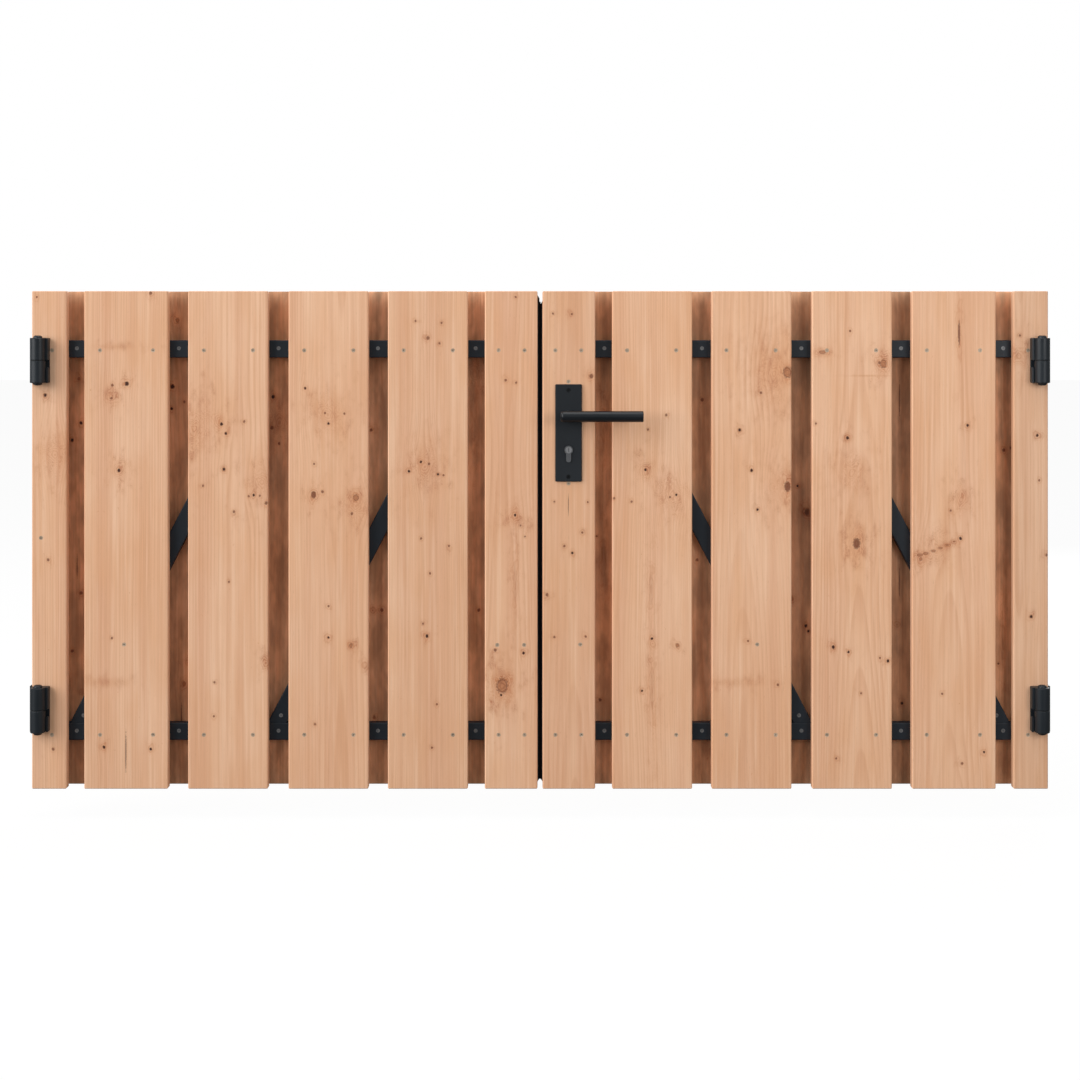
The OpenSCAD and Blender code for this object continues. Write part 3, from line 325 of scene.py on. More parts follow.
# Kind, place in X and Z and radius of each mark seen on a board, in millimetres
MARKS = {
    "left_front_board_1": [
        ("pin", -994, 791, 3.4), ("swirl", -974, 671, 14.1), ("fleck", -988, 460, 3.0),
        ("fleck", -978, 80, 3.0), ("fleck", -1011, 988, 2.3),
    ],
    "left_front_board_2": [
        ("pin", -830, 814, 4.3), ("fleck", -859, 811, 3.0), ("stain", -862, 787, 7.0),
        ("fleck", -861, 785, 2.8), ("pin", -846, 640, 3.4), ("stain", -846, 640, 7.0),
        ("fleck", -782, 996, 3.5), ("smear", -856, 888, 18.1), ("fleck", -860, 303, 2.5),
        ("smear", -880, 215, 24.1), ("pin", -876, 84, 3.2), ("pin", -782, 80, 2.9),
        ("crack", -832, 74, 1.8),
    ],
    "left_front_board_3": [
        ("pin", -640, 733, 3.4), ("stain", -645, 737, 8.0), ("pin", -631, 714, 2.9),
        ("fleck", -594, 738, 2.5), ("pin", -635, 642, 3.2), ("fleck", -677, 609, 2.3),
        ("stain", -694, 725, 16.1), ("swirl", -559, 617, 12.1), ("pin", -575, 590, 2.7),
        ("fleck", -585, 588, 2.3), ("fleck", -563, 589, 2.3), ("fleck", -550, 574, 3.3),
        ("fleck", -615, 557, 2.8), ("fleck", -625, 416, 2.3), ("fleck", -654, 214, 2.3),
        ("fleck", -655, 146, 2.3), ("stain", -550, 253, 5.0),
    ],
    "left_front_board_4": [
        ("pin", -472, 805, 2.5), ("swirl", -426, 751, 14.1), ("fleck", -432, 755, 2.3),
        ("pin", -425, 734, 2.7), ("fleck", -393, 754, 2.3), ("fleck", -454, 653, 2.3),
        ("dark knot", -455, 591, 5.0), ("fleck", -437, 597, 3.0), ("knot", -370, 585, 5.6),
        ("swirl", -370, 568, 12.1), ("fleck", -378, 553, 3.0), ("fleck", -425, 367, 2.3),
        ("pin", -425, 304, 2.5), ("knot", -380, 288, 3.6), ("fleck", -452, 130, 2.3),
        ("stain", -350, 249, 4.0),
    ],
    "left_front_board_5": [
        ("fleck", -225, 906, 3.5), ("fleck", -250, 940, 2.3), ("fleck", -198, 936, 2.3),
        ("fleck", -202, 895, 2.3), ("pin", -263, 638, 2.9), ("pin", -239, 657, 2.7),
        ("fleck", -223, 653, 2.8), ("pin", -205, 632, 2.5), ("fleck", -194, 630, 2.3),
        ("swirl", -231, 647, 14.1), ("fleck", -239, 503, 2.5), ("fleck", -183, 488, 2.3),
        ("fleck", -221, 433, 2.3), ("fleck", -235, 332, 2.3), ("pin", -227, 307, 3.4),
        ("fleck", -207, 170, 2.3), ("fleck", -217, 83, 2.5),
    ],
    "left_front_board_6": [
        ("fleck", -69, 821, 2.8), ("fleck", -48, 816, 2.3), ("fleck", -49, 988, 2.3),
        ("pin", -50, 550, 2.9), ("stain", -50, 550, 8.0), ("fleck", -39, 529, 2.0),
        ("fleck", -30, 507, 2.0), ("streak", -50, 414, 4.4), ("pin", -33, 273, 2.9),
        ("fleck", -90, 279, 3.3), ("knot", -76, 207, 12.1), ("pin", -78, 189, 2.5),
    ],
    "right_front_board_6": [
        ("fleck", 26, 955, 2.3), ("fleck", 64, 954, 2.3), ("fleck", 103, 829, 4.5),
        ("pin", 65, 474, 2.7), ("fleck", 49, 488, 2.8), ("fleck", 14, 390, 3.3),
        ("fleck", 85, 515, 2.3), ("fleck", 29, 577, 2.0), ("fleck", 96, 576, 2.0),
        ("fleck", 29, 305, 2.5), ("fleck", 92, 306, 2.3), ("crack", 57, 570, 1.0),
    ],
    "right_front_board_5": [
        ("fleck", 254, 751, 2.8), ("fleck", 217, 722, 2.5), ("pin", 212, 641, 2.7),
        ("stain", 212, 641, 7.0), ("pin", 274, 591, 2.5), ("fleck", 261, 586, 2.3),
        ("fleck", 184, 577, 2.5), ("fleck", 149, 584, 2.5), ("pin", 225, 302, 2.7),
        ("stain", 226, 292, 4.0), ("knot", 276, 288, 3.4), ("pin", 205, 197, 2.3),
        ("streak", 223, 400, 4.0), ("streak", 225, 199, 4.8), ("swirl", 265, 590, 12.1),
    ],
    "right_front_board_4": [
        ("swirl", 494, 609, 14.1), ("knot", 497, 837, 9.2), ("swirl", 470, 834, 20.1),
        ("fleck", 444, 796, 2.8), ("pin", 401, 721, 3.2), ("pin", 425, 640, 3.2),
        ("dark knot", 497, 607, 6.8), ("pin", 437, 561, 2.7), ("fleck", 418, 297, 2.3),
        ("smear", 382, 214, 22.1), ("fleck", 478, 209, 2.8),
    ],
    "right_front_board_3": [
        ("fleck", 623, 920, 2.3), ("slash", 568, 877, 8.0), ("fleck", 682, 856, 3.3),
        ("knot", 690, 854, 7.2), ("fleck", 554, 734, 2.3), ("pin", 618, 705, 3.4),
        ("swirl", 627, 638, 12.1), ("dark knot", 636, 493, 7.6), ("swirl", 636, 493, 12.1),
        ("pin", 589, 285, 3.6), ("pin", 620, 275, 2.7), ("fleck", 683, 263, 2.3),
        ("pin", 699, 257, 3.2), ("fleck", 645, 192, 2.3), ("fleck", 595, 61, 2.3),
        ("scratch", 667, 830, 18.1),
    ],
    "right_front_board_2": [
        ("resin", 842, 916, 2.4), ("pin", 859, 730, 2.9), ("stain", 846, 580, 8.0),
        ("fleck", 825, 559, 2.3), ("pin", 845, 503, 3.2), ("swirl", 796, 484, 10.0),
        ("knot", 765, 462, 3.2), ("slash", 763, 470, 6.4), ("slash", 775, 473, 6.0),
        ("slash", 790, 478, 5.6), ("slash", 804, 484, 4.8), ("slash", 818, 490, 4.0),
        ("slash", 832, 497, 3.6), ("stain", 763, 460, 6.0), ("stain", 784, 468, 4.8),
        ("fleck", 808, 191, 2.5), ("pin", 892, 74, 2.5), ("fleck", 848, 51, 2.8),
    ],
    "right_front_board_1": [
        ("fleck", 964, 911, 2.3), ("stain", 962, 870, 8.0), ("pin", 999, 710, 2.9),
        ("fleck", 1003, 620, 2.3), ("fleck", 1018, 470, 2.8), ("pin", 987, 346, 3.2),
    ],
    "left_back_board_1": [
        ("pin", -932, 733, 3.4), ("pin", -950, 698, 3.4), ("crack", -940, 443, 1.2),
        ("fleck", -932, 388, 3.5), ("fleck", -950, 270, 3.5),
    ],
    "left_back_board_2": [
        ("pin", -746, 807, 4.5), ("pin", -748, 762, 2.9), ("fleck", -722, 776, 3.0),
        ("streak", -736, 971, 2.4), ("crack", -728, 130, 1.6),
    ],
    "left_back_board_3": [
        ("pin", -542, 786, 4.1), ("swirl", -530, 735, 16.1), ("fleck", -544, 723, 4.0),
        ("fleck", -530, 691, 3.0),
    ],
    "left_back_board_4": [
        ("fleck", -343, 719, 3.3), ("fleck", -321, 353, 3.8),
    ],
    "left_back_board_5": [
        ("swirl", -132, 830, 16.1), ("streak", -132, 780, 4.8), ("fleck", -124, 353, 3.3),
    ],
    "right_back_board_5": [
        ("streak", 128, 719, 5.2), ("streak", 130, 455, 4.4), ("fleck", 122, 171, 3.3),
    ],
    "right_back_board_4": [
        ("fleck", 329, 780, 3.5), ("fleck", 319, 455, 3.0),
    ],
    "right_back_board_3": [
        ("pin", 540, 321, 3.2), ("pin", 545, 310, 2.7), ("dark knot", 542, 552, 4.8),
        ("pin", 523, 605, 2.5),
    ],
    "right_back_board_2": [
        ("crack", 730, 780, 1.6), ("crack", 730, 410, 1.4),
    ],
    "right_back_board_1": [
        ("fleck", 942, 678, 3.5), ("streak", 940, 292, 3.6),
    ],
}


def new_group(name, inputs, outputs):
    """An empty node group with named sockets: its tree's graph, its inputs and its outputs."""
    tree = bpy.data.node_groups.new(name, "ShaderNodeTree")
    kinds = {"v": "NodeSocketVector", "f": "NodeSocketFloat", "c": "NodeSocketColor"}
    for word, kind in inputs.items():
        tree.interface.new_socket(word, in_out="INPUT", socket_type=kinds[kind])
    for word, kind in outputs.items():
        tree.interface.new_socket(word, in_out="OUTPUT", socket_type=kinds[kind])
    graph = Graph(tree)
    return graph, graph.add("NodeGroupInput").outputs, graph.add("NodeGroupOutput").inputs


# Distance between the growth lines that show round a mark
MARK_ARC = 0.0046


def make_mark_group():
    """How far one mark pushes the grain aside, and how strong its parts are."""
    graph, given, made = new_group(
        "wood mark",
        {"Point": "v", "X": "f", "Z": "f", "Radius": "f", "Stretch": "f", "Bend": "f", "Fill": "f"},
        {"Shift": "f", "Core": "f", "Halo": "f", "Rust": "f", "Eye": "f"},
    )
    point, radius = given["Point"], given["Radius"]
    x, _, z = graph.split(point)
    dx = graph.math("SUBTRACT", x, given["X"])
    dz = graph.math("SUBTRACT", z, given["Z"])
    short = graph.math("DIVIDE", dz, given["Stretch"])
    reach = graph.math("SQRT", graph.total(graph.squared(dx), graph.squared(short)))

    # The core has a ragged edge
    ragged = graph.noise(point, (330.0, 330.0, 330.0))
    near = graph.product(reach, graph.span(ragged, 0.3, 0.7, 0.8, 1.22, smooth=False))
    near = graph.math("DIVIDE", near, radius)
    graph.links.new(graph.span(near, 0.6, 1.15, 1.0, 0.0), made["Core"])

    # The halo is made of growth lines that fade outwards
    wave = graph.noise(point, (75.0, 75.0, 42.0))
    far = graph.product(reach, graph.span(wave, 0.3, 0.7, 0.6, 1.5, smooth=False))
    arcs = graph.math("MULTIPLY_ADD", wave, 1.3, graph.math("DIVIDE", far, MARK_ARC))
    arcs = graph.math("FRACT", arcs)
    arcs = graph.product(graph.span(arcs, 0.2, 0.75), graph.span(arcs, 0.8, 1.0, 1.0, 0.0))
    square = graph.squared(graph.math("DIVIDE", far, radius))
    fade = graph.math("EXPONENT", graph.product(square, -0.17))
    graph.links.new(graph.product(fade, graph.span(arcs, 0.0, 1.0, 0.42, 1.1)), made["Halo"])

    # The rust lies in soft patches and reaches further
    wide = graph.math("EXPONENT", graph.product(square, -0.06))
    patch = graph.noise(point, (55.0, 55.0, 26.0), 3.0, 0.6)
    patch = graph.product(graph.span(patch, 0.46, 0.72), graph.span(arcs, 0.0, 1.0, 0.45, 1.0))
    graph.links.new(graph.product(wide, patch), made["Rust"])

    # The eye is the lighter wood inside the core's dark rim
    eye = graph.math("MULTIPLY_ADD", ragged, 0.8, graph.product(near, 2.3))
    eye = graph.span(graph.math("FRACT", eye), 0.2, 0.8, 0.5, 1.0)
    eye = graph.product(eye, graph.span(near, 0.5, 0.85, 0.55, 0.0))
    graph.links.new(graph.product(graph.total(eye, 0.45), given["Fill"]), made["Eye"])

    # The grain is pushed away from the mark within a tall bell round it
    wide = graph.math("MULTIPLY_ADD", radius, 2.4, 0.005)
    tall = graph.math("MULTIPLY_ADD", radius, 4.5, 0.012)
    across = graph.squared(graph.math("DIVIDE", dx, wide))
    along = graph.squared(graph.math("DIVIDE", dz, tall))
    bell = graph.math("EXPONENT", graph.product(graph.total(across, along), -1.0))
    graph.links.new(graph.product(dx, bell, given["Bend"], -0.85), made["Shift"])
    return graph.tree


def ring_lines(graph, given, place):
    """Late wood: thin lines round a pith behind the face, bent round the marks."""
    x, y, z = graph.split(given["Point"])
    seed = given["Seed"]
    sway = graph.math("SUBTRACT", graph.noise(place, (3.0, 3.0, 1.2), 1.0), 0.5)
    ripple = graph.math("SUBTRACT", graph.noise(place, (30.0, 30.0, 5.0)), 0.5)
    across = graph.total(graph.math("SUBTRACT", x, given["Pith X"]), given["Shift"])
    across = graph.math("MULTIPLY_ADD", sway, 0.018, across)
    depth = graph.math("SUBTRACT", y, given["Pith Y"])
    depth = graph.math("MULTIPLY_ADD", z, given["Lean"], depth)
    depth = graph.math("MULTIPLY_ADD", sway, 0.03, depth)
    age = graph.math("SQRT", graph.total(graph.squared(across), graph.squared(depth)))
    age = graph.math("MULTIPLY_ADD", ripple, 0.0016, age)
    rings = graph.math("DIVIDE", age, given["Ring"])
    years = graph.noise(graph.join(rings, seed, 0.0), (0.45, 1.0, 1.0), 1.0)
    rings = graph.math("MULTIPLY_ADD", years, 2.2, rings)
    part = graph.math("FRACT", rings)
    clear = graph.span(graph.noise(place, (14.0, 14.0, 2.0), 1.0), 0.3, 0.7, 0.15, 1.0)
    return graph.product(graph.span(part, 0.30, 0.90), graph.span(part, 0.90, 1.0, 1.0, 0.0), clear)


def wood_colour(graph, given, place, line):
    """Clear wood in its layers, then the marks' halo, rust and core."""
    cloud = graph.span(graph.noise(place, (9.0, 9.0, 4.0), 3.0), 0.3, 0.7)
    band = graph.span(graph.noise(place, (26.0, 26.0, 0.7)), 0.40, 0.75)
    blush = graph.span(graph.noise(place, (17.0, 17.0, 5.0), 2.0, 0.6), 0.42, 0.72)
    vein = graph.span(graph.noise(place, (210.0, 210.0, 2.2)), 0.35, 0.75)
    pale = graph.span(graph.noise(place, (170.0, 90.0, 3.5)), 0.50, 0.75)
    pore = graph.span(graph.noise(place, (900.0, 900.0, 70.0), 1.0), 0.68, 0.80)
    freckle = graph.span(graph.noise(place, (240.0, 240.0, 90.0), 2.0, 0.6, 1.0), 0.71, 0.80)
    layers = [
        (cloud, 0.75, WARM_WOOD),
        (band, 0.58, PINK_WOOD),
        (blush, 0.40, BLUSH_WOOD),
        (vein, 0.26, LINE_WOOD),
        (line, 0.36, LINE_WOOD),
        (pale, 0.34, LIGHT_WOOD),
        (pore, 0.14, KNOT_WOOD),
        (freckle, 0.40, HALO_WOOD),
    ]
    colour = PALE_WOOD
    for where, share, tint in layers:
        colour = graph.mix(graph.product(where, share), colour, tint)
    halo = graph.product(given["Halo"], graph.span(line, 0.0, 1.0, 0.8, 1.0))
    colour = graph.mix(halo, colour, HALO_WOOD)
    colour = graph.mix(given["Rust"], colour, RUST_WOOD)
    core = graph.mix(graph.span(given["Eye"], 0.0, 0.45), DARK_WOOD, KNOT_WOOD)
    core = graph.mix(graph.span(given["Eye"], 0.45, 1.0), core, FILL_WOOD)
    return graph.mix(given["Core"], colour, core)


def wood_light(graph, tone, fibre):
    """Fine fibres and darker end grain, with a painted highlight on the arrises and painted shade
    on faces that look down.
    """
    light = graph.product(tone, graph.span(fibre, 0.2, 0.8, 0.94, 1.05, smooth=False))
    facing = graph.split(graph.add("ShaderNodeTexCoord").outputs["Normal"])
    # Painted highlight: faces that slant sideways, the arrises, are made lighter as if they caught
    # the light
    slant = graph.math("ABSOLUTE", facing[0])
    slant = graph.product(graph.span(slant, 0.2, 0.5), graph.span(slant, 0.8, 0.95, 1.0, 0.0))
    painted_arris_highlight = graph.math("MULTIPLY_ADD", slant, 0.11, 1.0)
    end = graph.span(graph.math("ABSOLUTE", facing[2]), 0.6, 0.95, 1.0, 0.8)
    # Painted shade: faces that look down are darkened, as if in shade under the lower edges
    under = graph.span(facing[2], -0.6, -0.2, 0.45, 1.0)
    return graph.product(light, painted_arris_highlight, end, under)


def painted_shade_and_grime(graph, given, place, colour):
    """The colour on the boards behind: painted shade where the front boards keep the light off,
    with grime and smears.
    """
    grime = graph.span(graph.noise(place, (30.0, 30.0, 10.0), 3.0, 0.6), 0.30, 0.70, 0.70, 1.20)
    smear = graph.span(graph.noise(place, (95.0, 95.0, 4.0)), 0.3, 0.7, 0.86, 1.08)
    grime = graph.product(grime, smear)
    shaded = graph.vector("MULTIPLY", colour, given["Shade"])
    return graph.vector("MULTIPLY", shaded, graph.join(grime, grime, grime))


def make_wood_group():
    """Planed softwood: growth rings, fibres, bands and the marks that are fed in, with a painted
    highlight on the arrises, painted shade on faces that look down and, where Inside is set,
    painted shade on the boards behind.
    """
    words = ["Shift", "Core", "Halo", "Rust", "Eye", "Seed", "Pith X", "Pith Y", "Lean", "Ring"]
    words += ["Tone", "Inside"]
    sockets = {"Point": "v", **dict.fromkeys(words, "f"), "Shade": "c"}
    graph, given, made = new_group(
        "planed softwood", sockets, {"Color": "c", "Height": "f", "Roughness": "f"}
    )
    offset = graph.join(*[graph.product(given["Seed"], share) for share in (0.73, 1.91, 3.17)])
    place = graph.vector("ADD", given["Point"], offset)
    line = ring_lines(graph, given, place)
    fibre = graph.noise(place, (1000.0, 1000.0, 14.0), 3.0, 0.6)
    light = wood_light(graph, given["Tone"], fibre)
    colour = wood_colour(graph, given, place, line)
    colour = graph.vector("MULTIPLY", colour, graph.join(light, light, light))
    # The boards behind get painted shade and grime on their face towards the front boards
    colour = graph.mix(given["Inside"], colour, painted_shade_and_grime(graph, given, place, colour))
    graph.links.new(colour, made["Color"])
    relief = graph.math("MULTIPLY_ADD", line, 0.5, graph.product(fibre, 0.6))
    relief = graph.math("MULTIPLY_ADD", given["Core"], -0.8, relief)
    graph.links.new(relief, made["Height"])
    graph.links.new(graph.span(fibre, 0.2, 0.8, 0.56, 0.72), made["Roughness"])
    return graph.tree


# The boards behind get this many drawn marks of these kinds as well
DRAWN_MARKS = 5
DRAWN_KINDS = ["pin", "fleck", "knot", "fleck", "stain"]
DRAW_SEED = 700
# Share of the boards that are cut over the pith and show wide arches
FLAT_CUT_SHARE = 0.45


def marks_of(name, dice):
    """A board's own marks, and drawn ones on the boards behind."""
    marks = list(MARKS.get(name, []))
    if "back" in name:
        low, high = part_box(name)
        for _ in range(DRAWN_MARKS):
            x = dice.uniform(low[0] + 0.012, high[0] - 0.012) * 1000
            kind = dice.choice(DRAWN_KINDS)
            marks.append((kind, x, dice.uniform(40, 960), dice.uniform(1.8, 4.0)))
    return marks


def lay_marks(graph, place, marks, tree):
    """Adds the marks' nodes and returns what they give together."""
    joined = {"Shift": 0.0, "Core": 0.0, "Halo": 0.0, "Rust": 0.0, "Eye": 0.0}
    for kind, x, z, radius in marks:
        core, halo, rust, bend, stretch, fill = MARK_KINDS[kind]
        values = {
            "Point": place, "X": x / 1000, "Z": z / 1000, "Radius": radius / 1000,
            "Stretch": stretch, "Bend": bend, "Fill": fill,
        }
        made = graph.add("ShaderNodeGroup", values, node_tree=tree).outputs
        joined["Shift"] = graph.total(joined["Shift"], made["Shift"])
        strengths = {
            "Core": graph.product(made["Core"], core),
            "Eye": graph.product(made["Eye"], made["Core"]),
            "Halo": graph.product(made["Halo"], halo),
            "Rust": graph.product(made["Rust"], rust),
        }
        for key, value in strengths.items():
            joined[key] = graph.math("MAXIMUM", joined[key], value)
    return joined


def dress_board(name, order, groups):
    """The board's wood: its pith, seed, tone and marks, and on the boards behind painted shade."""
    mark_tree, wood_tree = groups
    dice = random.Random(DRAW_SEED + order)
    low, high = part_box(name)
    back = "back" in name
    material, graph, place, shader = new_material("wood " + name.replace("_", " "))
    values = {"Point": place, "Seed": 1.0 + 0.37 * order, "Inside": 0.0, "Shade": INNER_SHADE}
    values.update(lay_marks(graph, place, marks_of(name, dice), mark_tree))
    if back:
        # Painted shade on the boards behind: their face towards the front boards is darkened, and
        # less so close under their upper ends
        _, y, z = graph.split(place)
        near_top = graph.span(z, TOP_SHADE[0], TOP_SHADE[1])
        values["Inside"] = graph.span(y, INNER_DEPTH[0], INNER_DEPTH[1], 1.0, 0.0)
        values["Shade"] = graph.mix(near_top, INNER_SHADE, OPEN_SHADE)
    flat_cut = dice.random() < FLAT_CUT_SHARE
    aside = dice.uniform(0.0, 0.03) if flat_cut else dice.uniform(0.09, 0.22)
    values["Pith X"] = (low[0] + high[0]) / 2 + dice.choice([-1, 1]) * aside
    values["Pith Y"] = (1.0 if back else -1.0) * dice.uniform(0.06, 0.12)
    values["Lean"] = dice.uniform(-0.02, 0.02)
    values["Ring"] = dice.uniform(0.0040, 0.0056)
    values["Tone"] = dice.uniform(0.98, 1.02) * BOARD_TONES_AND_PAINTED_LIGHT.get(name, 1.0)
    wood = graph.add("ShaderNodeGroup", values, node_tree=wood_tree)
    graph.links.new(wood.outputs["Color"], shader.inputs["Base Color"])
    graph.links.new(wood.outputs["Roughness"], shader.inputs["Roughness"])
    relief = graph.bump(wood.outputs["Height"], 0.00018, 0.6)
    graph.links.new(relief, shader.inputs["Normal"])
    shader.inputs["Specular IOR Level"].default_value = 0.3
    wear(nodes[name], material)


# Steel, plastic and plated parts


def wear(thing, material):
    """Puts a material on every slot of a node or piece."""
    if not thing.material_slots:
        thing.data.materials.append(material)
    for spot in thing.material_slots:
        spot.material = material


def tint(graph, shader, colour, light):
    """Links the base colour: a colour times a light near 1."""
    tinted = graph.vector("MULTIPLY", colour[:3], graph.join(light, light, light))
    graph.links.new(tinted, shader.inputs["Base Color"])


def make_coated(name, colour, gloss, peel=0.00005):
    """Satin powder coat: fine orange peel, slightly uneven gloss and tone."""
    material, graph, place, shader = new_material(name)
    cloud = graph.noise(place, (9.0, 9.0, 9.0), 3.0)
    speck = graph.noise(place, (900.0, 900.0, 900.0))
    coarse = graph.noise(place, (420.0, 420.0, 420.0))
    uneven = graph.span(cloud, 0.3, 0.7, 0.88, 1.12)
    tint(graph, shader, colour, graph.product(uneven, graph.span(speck, 0.3, 0.7, 0.93, 1.07)))
    rough = graph.span(cloud, 0.3, 0.7, gloss - 0.04, gloss + 0.05)
    graph.links.new(rough, shader.inputs["Roughness"])
    graph.links.new(graph.bump(coarse, peel, 0.5), shader.inputs["Normal"])
    shader.inputs["Specular IOR Level"].default_value = 0.35
    return material


def make_plated(name, colour, gloss, brushed=(60.0, 60.0, 60.0), metallic=1.0, cloudy=0.12):
    """Plated or brushed metal with fine lines along one way and a cloudy plating."""
    material, graph, place, shader = new_material(name)
    cloud = graph.noise(place, (130.0, 130.0, 130.0), 3.0)
    lines = graph.noise(place, brushed, 3.0, 0.6)
    plating = graph.span(cloud, 0.3, 0.7, 1.0 - cloudy, 1.0 + cloudy)
    tint(graph, shader, colour, graph.product(plating, graph.span(lines, 0.25, 0.75, 0.9, 1.08)))
    rough = graph.span(lines, 0.25, 0.75, gloss - 0.06, gloss + 0.1)
    graph.links.new(rough, shader.inputs["Roughness"])
    graph.links.new(graph.bump(lines, 0.00003, 0.4), shader.inputs["Normal"])
    shader.inputs["Metallic"].default_value = metallic
    return material


def make_plastic(name, colour, shine=0.4):
    """Moulded plastic or rubber with a fine matt grain."""
    material, graph, place, shader = new_material(name)
    grain = graph.noise(place, (1300.0, 1300.0, 1300.0))
    tint(graph, shader, colour, graph.span(grain, 0.3, 0.7, 0.85, 1.15))
    graph.links.new(graph.span(grain, 0.3, 0.7, 0.5, 0.62), shader.inputs["Roughness"])
    graph.links.new(graph.bump(grain, 0.00004, 0.5), shader.inputs["Normal"])
    shader.inputs["Specular IOR Level"].default_value = shine
    return material


# Pieces made here


def only(thing):
    """Selects just this object."""
    bpy.ops.object.select_all(action="DESELECT")
    thing.select_set(True)
    bpy.context.view_layer.objects.active = thing


def pick_faces(thing, keep):
    """In edit mode, selects the faces that keep() says yes to."""
    mesh = bmesh.from_edit_mesh(thing.data)
    mesh.select_mode = {"FACE"}
    for face in mesh.faces:
        face.select_set(False)
    for face in mesh.faces:
        if keep(face):
            face.select_set(True)
    mesh.select_flush_mode()
    bmesh.update_edit_mesh(thing.data)


def pick_points(thing, keep):
    """In edit mode, selects the points that keep() says yes to."""
    bpy.ops.mesh.select_mode(type="VERT")
    mesh = bmesh.from_edit_mesh(thing.data)
    for vert in mesh.verts:
        vert.select_set(False)
    for vert in mesh.verts:
        if keep(vert.co):
            vert.select_set(True)
    mesh.select_flush_mode()
    bmesh.update_edit_mesh(thing.data)


def push(way, grow=1.0):
    """Extrudes what is selected and scales its far end."""
    bpy.ops.mesh.extrude_region_move(TRANSFORM_OT_translate={"value": way})
    if grow != 1.0:
        bpy.ops.transform.resize(value=(grow, grow, grow))


SCREW_SIDES = 24
# Tip: its length and its end against the shank's width
TIP_L = 1.2
TIP_END = 0.12
RIM_H = 0.0003
RIM_W = 0.00045
# Dish: its depth, its floor against its top, and the ring left round the recess
DISH_H = 0.00025
DISH_FLOOR = 0.94
DISH_RING = 0.0001
# Star recess: its width against the dish's, its corners, its waist against its width,
# its depth and its floor against its top
STAR_W = 3.9 / 7
STAR_CORNERS = 12
STAR_WAIST = 0.74
STAR_H = 0.0017
STAR_FLOOR = 0.85
# Turn from one screw of a node to the next, in degrees
SCREW_TURN = 53.0
# Faces that meet at less than this shade as one
SCREW_SMOOTH = math.radians(38)
SEAL_SMOOTH = math.radians(40)
EASED_SMOOTH = math.radians(42)
# Points this close are one, and points this close to an end belong to it
CAD_WELD = 1e-6
AT_END = 1e-5


def make_screw(head_d, shank_d, length):
    """A countersunk screw along +Z from its head: raised rim, dished face and star recess."""
    cone = (head_d - shank_d) / 2
    tip = TIP_L * shank_d
    body = length - cone - RIM_H - tip
    bpy.ops.object.select_all(action="DESELECT")
    bpy.ops.mesh.primitive_cylinder_add(
        vertices=SCREW_SIDES,
        radius=shank_d / 2,
        depth=body,
        location=(0.0, 0.0, cone + RIM_H + body / 2),
    )
    screw = bpy.context.object
    only(screw)
    bpy.ops.object.transform_apply()
    bpy.ops.object.mode_set(mode="EDIT")
    pick_faces(screw, lambda face: face.normal.z > 0.9)
    push((0.0, 0.0, tip), TIP_END)
    pick_faces(screw, lambda face: face.normal.z < -0.9)
    push((0.0, 0.0, -cone), head_d / shank_d)
    push((0.0, 0.0, -RIM_H))
    bpy.ops.mesh.inset(thickness=RIM_W)
    push((0.0, 0.0, DISH_H), DISH_FLOOR)
    bpy.ops.mesh.inset(thickness=DISH_RING)
    bpy.ops.transform.resize(value=(STAR_W, STAR_W, 1.0))
    reach = max(v.co.xy.length for v in bmesh.from_edit_mesh(screw.data).verts if v.select)
    step = math.tau / STAR_CORNERS

    def at_waist(point):
        """Every second corner of the star."""
        if abs(point.z - DISH_H) > 0.00002 or point.xy.length > 1.02 * reach:
            return False
        return round(math.atan2(point.y, point.x) / step) % 2 == 1

    pick_points(screw, at_waist)
    bpy.ops.transform.resize(value=(STAR_WAIST, STAR_WAIST, 1.0))
    bpy.ops.mesh.select_mode(type="FACE")
    pick_faces(
        screw,
        lambda face: face.normal.z < -0.9
        and max(v.co.xy.length for v in face.verts) < 1.02 * reach
        and len(face.verts) > 6,
    )
    push((0.0, 0.0, STAR_H), STAR_FLOOR)
    bpy.ops.object.mode_set(mode="OBJECT")
    only(screw)
    bpy.ops.object.shade_smooth_by_angle(angle=SCREW_SMOOTH)
    return screw


def solids(node):
    """The corner points of each separate solid of a CAD node, in a fixed order."""
    mesh = bmesh.new()
    mesh.from_mesh(node.data)
    bmesh.ops.remove_doubles(mesh, verts=mesh.verts, dist=CAD_WELD)
    waiting = set(mesh.verts)
    found = []
    for start in mesh.verts:
        if start not in waiting:
            continue
        waiting.discard(start)
        pool = [start]
        points = []
        while pool:
            vert = pool.pop()
            points.append(vert.co.copy())
            for edge in vert.link_edges:
                other = edge.other_vert(vert)
                if other in waiting:
                    waiting.discard(other)
                    pool.append(other)
        found.append(points)
    mesh.free()
    middles = [sum(points, Vector()) / len(points) for points in found]
    order = sorted(range(len(found)), key=lambda i: [round(v, 4) for v in middles[i]])
    return [found[i] for i in order]


